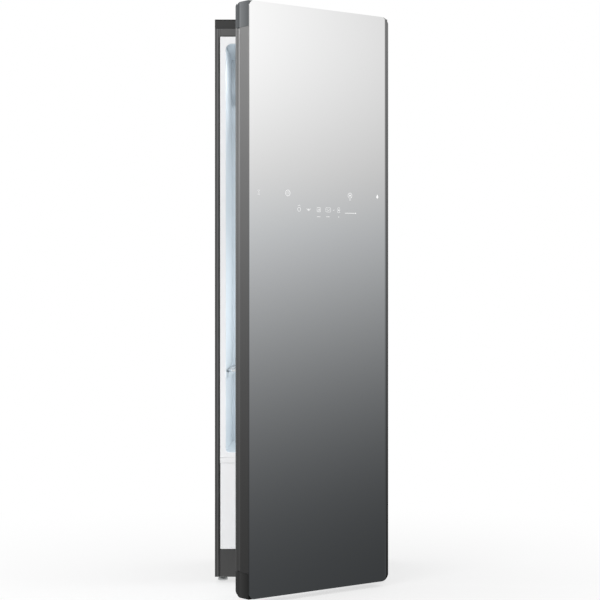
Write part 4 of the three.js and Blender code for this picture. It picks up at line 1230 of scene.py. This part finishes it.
shell()
cavity()
tanks()
machines()
door()


# ---------------- room, lamps and camera

FLOOR_GREY = 246
FLOOR_RADIUS = 40
WHITE_FROM, WHITE_AT = 0.5, 2.2
LEAST_WHITE = 0.65
ROOM_LIGHT = 0.96


def build_room():
    """A pale floor that turns into the white backdrop away from the cabinet."""
    finish = Finish("pale_floor")
    matt = finish.node("BsdfDiffuse", {0: tint(FLOOR_GREY)})
    white = finish.node("Emission", {0: WHITE, 1: 1.0})
    reach = finish.node("VectorMath", {0: finish.place()}, "Value", operation="LENGTH")
    mostly = reach.between(WHITE_FROM, WHITE_AT) * (1 - LEAST_WHITE) + LEAST_WHITE
    share = finish.looked_at(mostly)
    finish.output(finish.node("MixShader", {0: share, 1: matt, 2: white}))
    mesh = bpy.data.meshes.new("floor")
    work = bmesh.new()
    bmesh.ops.create_circle(work, cap_ends=True, segments=96, radius=FLOOR_RADIUS)
    work.to_mesh(mesh)
    work.free()
    mesh.materials.append(finish.block)
    floor = add("floor", mesh)
    floor.location.z = -0.0005


def light_world():
    """White where it is looked at, and slightly weaker as a lamp."""
    sky = Finish("white_room", bpy.data.worlds)
    level = sky.node("MapRange", {0: sky.looked_at(), 3: ROOM_LIGHT, 4: 1.0})
    sky.output(sky.node("Background", {0: WHITE, 1: level}), "World")
    bpy.context.scene.world = sky.block


def lamp(name, spot, target, size, power, colour=(1, 1, 1), seen=True):
    data = bpy.data.lights.new(name, "AREA")
    data.shape = "RECTANGLE"
    data.size, data.size_y = size
    data.energy = power
    data.color = colour
    obj = add(name, data)
    obj.location = spot
    obj.rotation_euler = (Vector(target) - Vector(spot)).to_track_quat("-Z", "Y").to_euler()
    obj.visible_camera = obj.visible_glossy = seen


build_room()
light_world()
lamp("key_lamp", (-2.6, -4.6, 3.4), (0, 0, 1.0), (2.4, 2.4), 53)
lamp("low_fill", (-1.9, -2.6, 0.3), (-0.25, 0, 0.35), (0.8, 0.5), 9.5, seen=False)
lamp("cavity_lamp", (-0.05, -0.001, 1.862), (-0.05, 0.1, 0.6), (0.22, 0.02), 1.4,
     (0.97, 0.99, 1), seen=False)
lamp("cavity_fill", (0.2, 0.05, 0.85), (-0.26, 0.05, 0.85), (0.3, 0.6), 2.4,
     (0.96, 0.99, 1), seen=False)

CAMERA_SPOT = (0.0479, -6.1033, 1.0256)
FOCAL_PIXELS = 1741.93
MIDDLE_PIXEL = (314.88, 287.78)
PICTURE = 600
SENSOR = 36
camera_data = bpy.data.cameras.new("camera")
camera_data.sensor_fit = "HORIZONTAL"
camera_data.sensor_width = SENSOR
camera_data.lens = SENSOR * FOCAL_PIXELS / PICTURE
camera_data.shift_x = (PICTURE / 2 - MIDDLE_PIXEL[0]) / PICTURE
camera_data.shift_y = (MIDDLE_PIXEL[1] - PICTURE / 2) / PICTURE
camera = add("camera", camera_data)
camera.location = CAMERA_SPOT
camera.rotation_euler = (math.pi / 2, 0, 0)
bpy.context.scene.camera = camera
bpy.context.scene.view_settings.view_transform = "Standard"
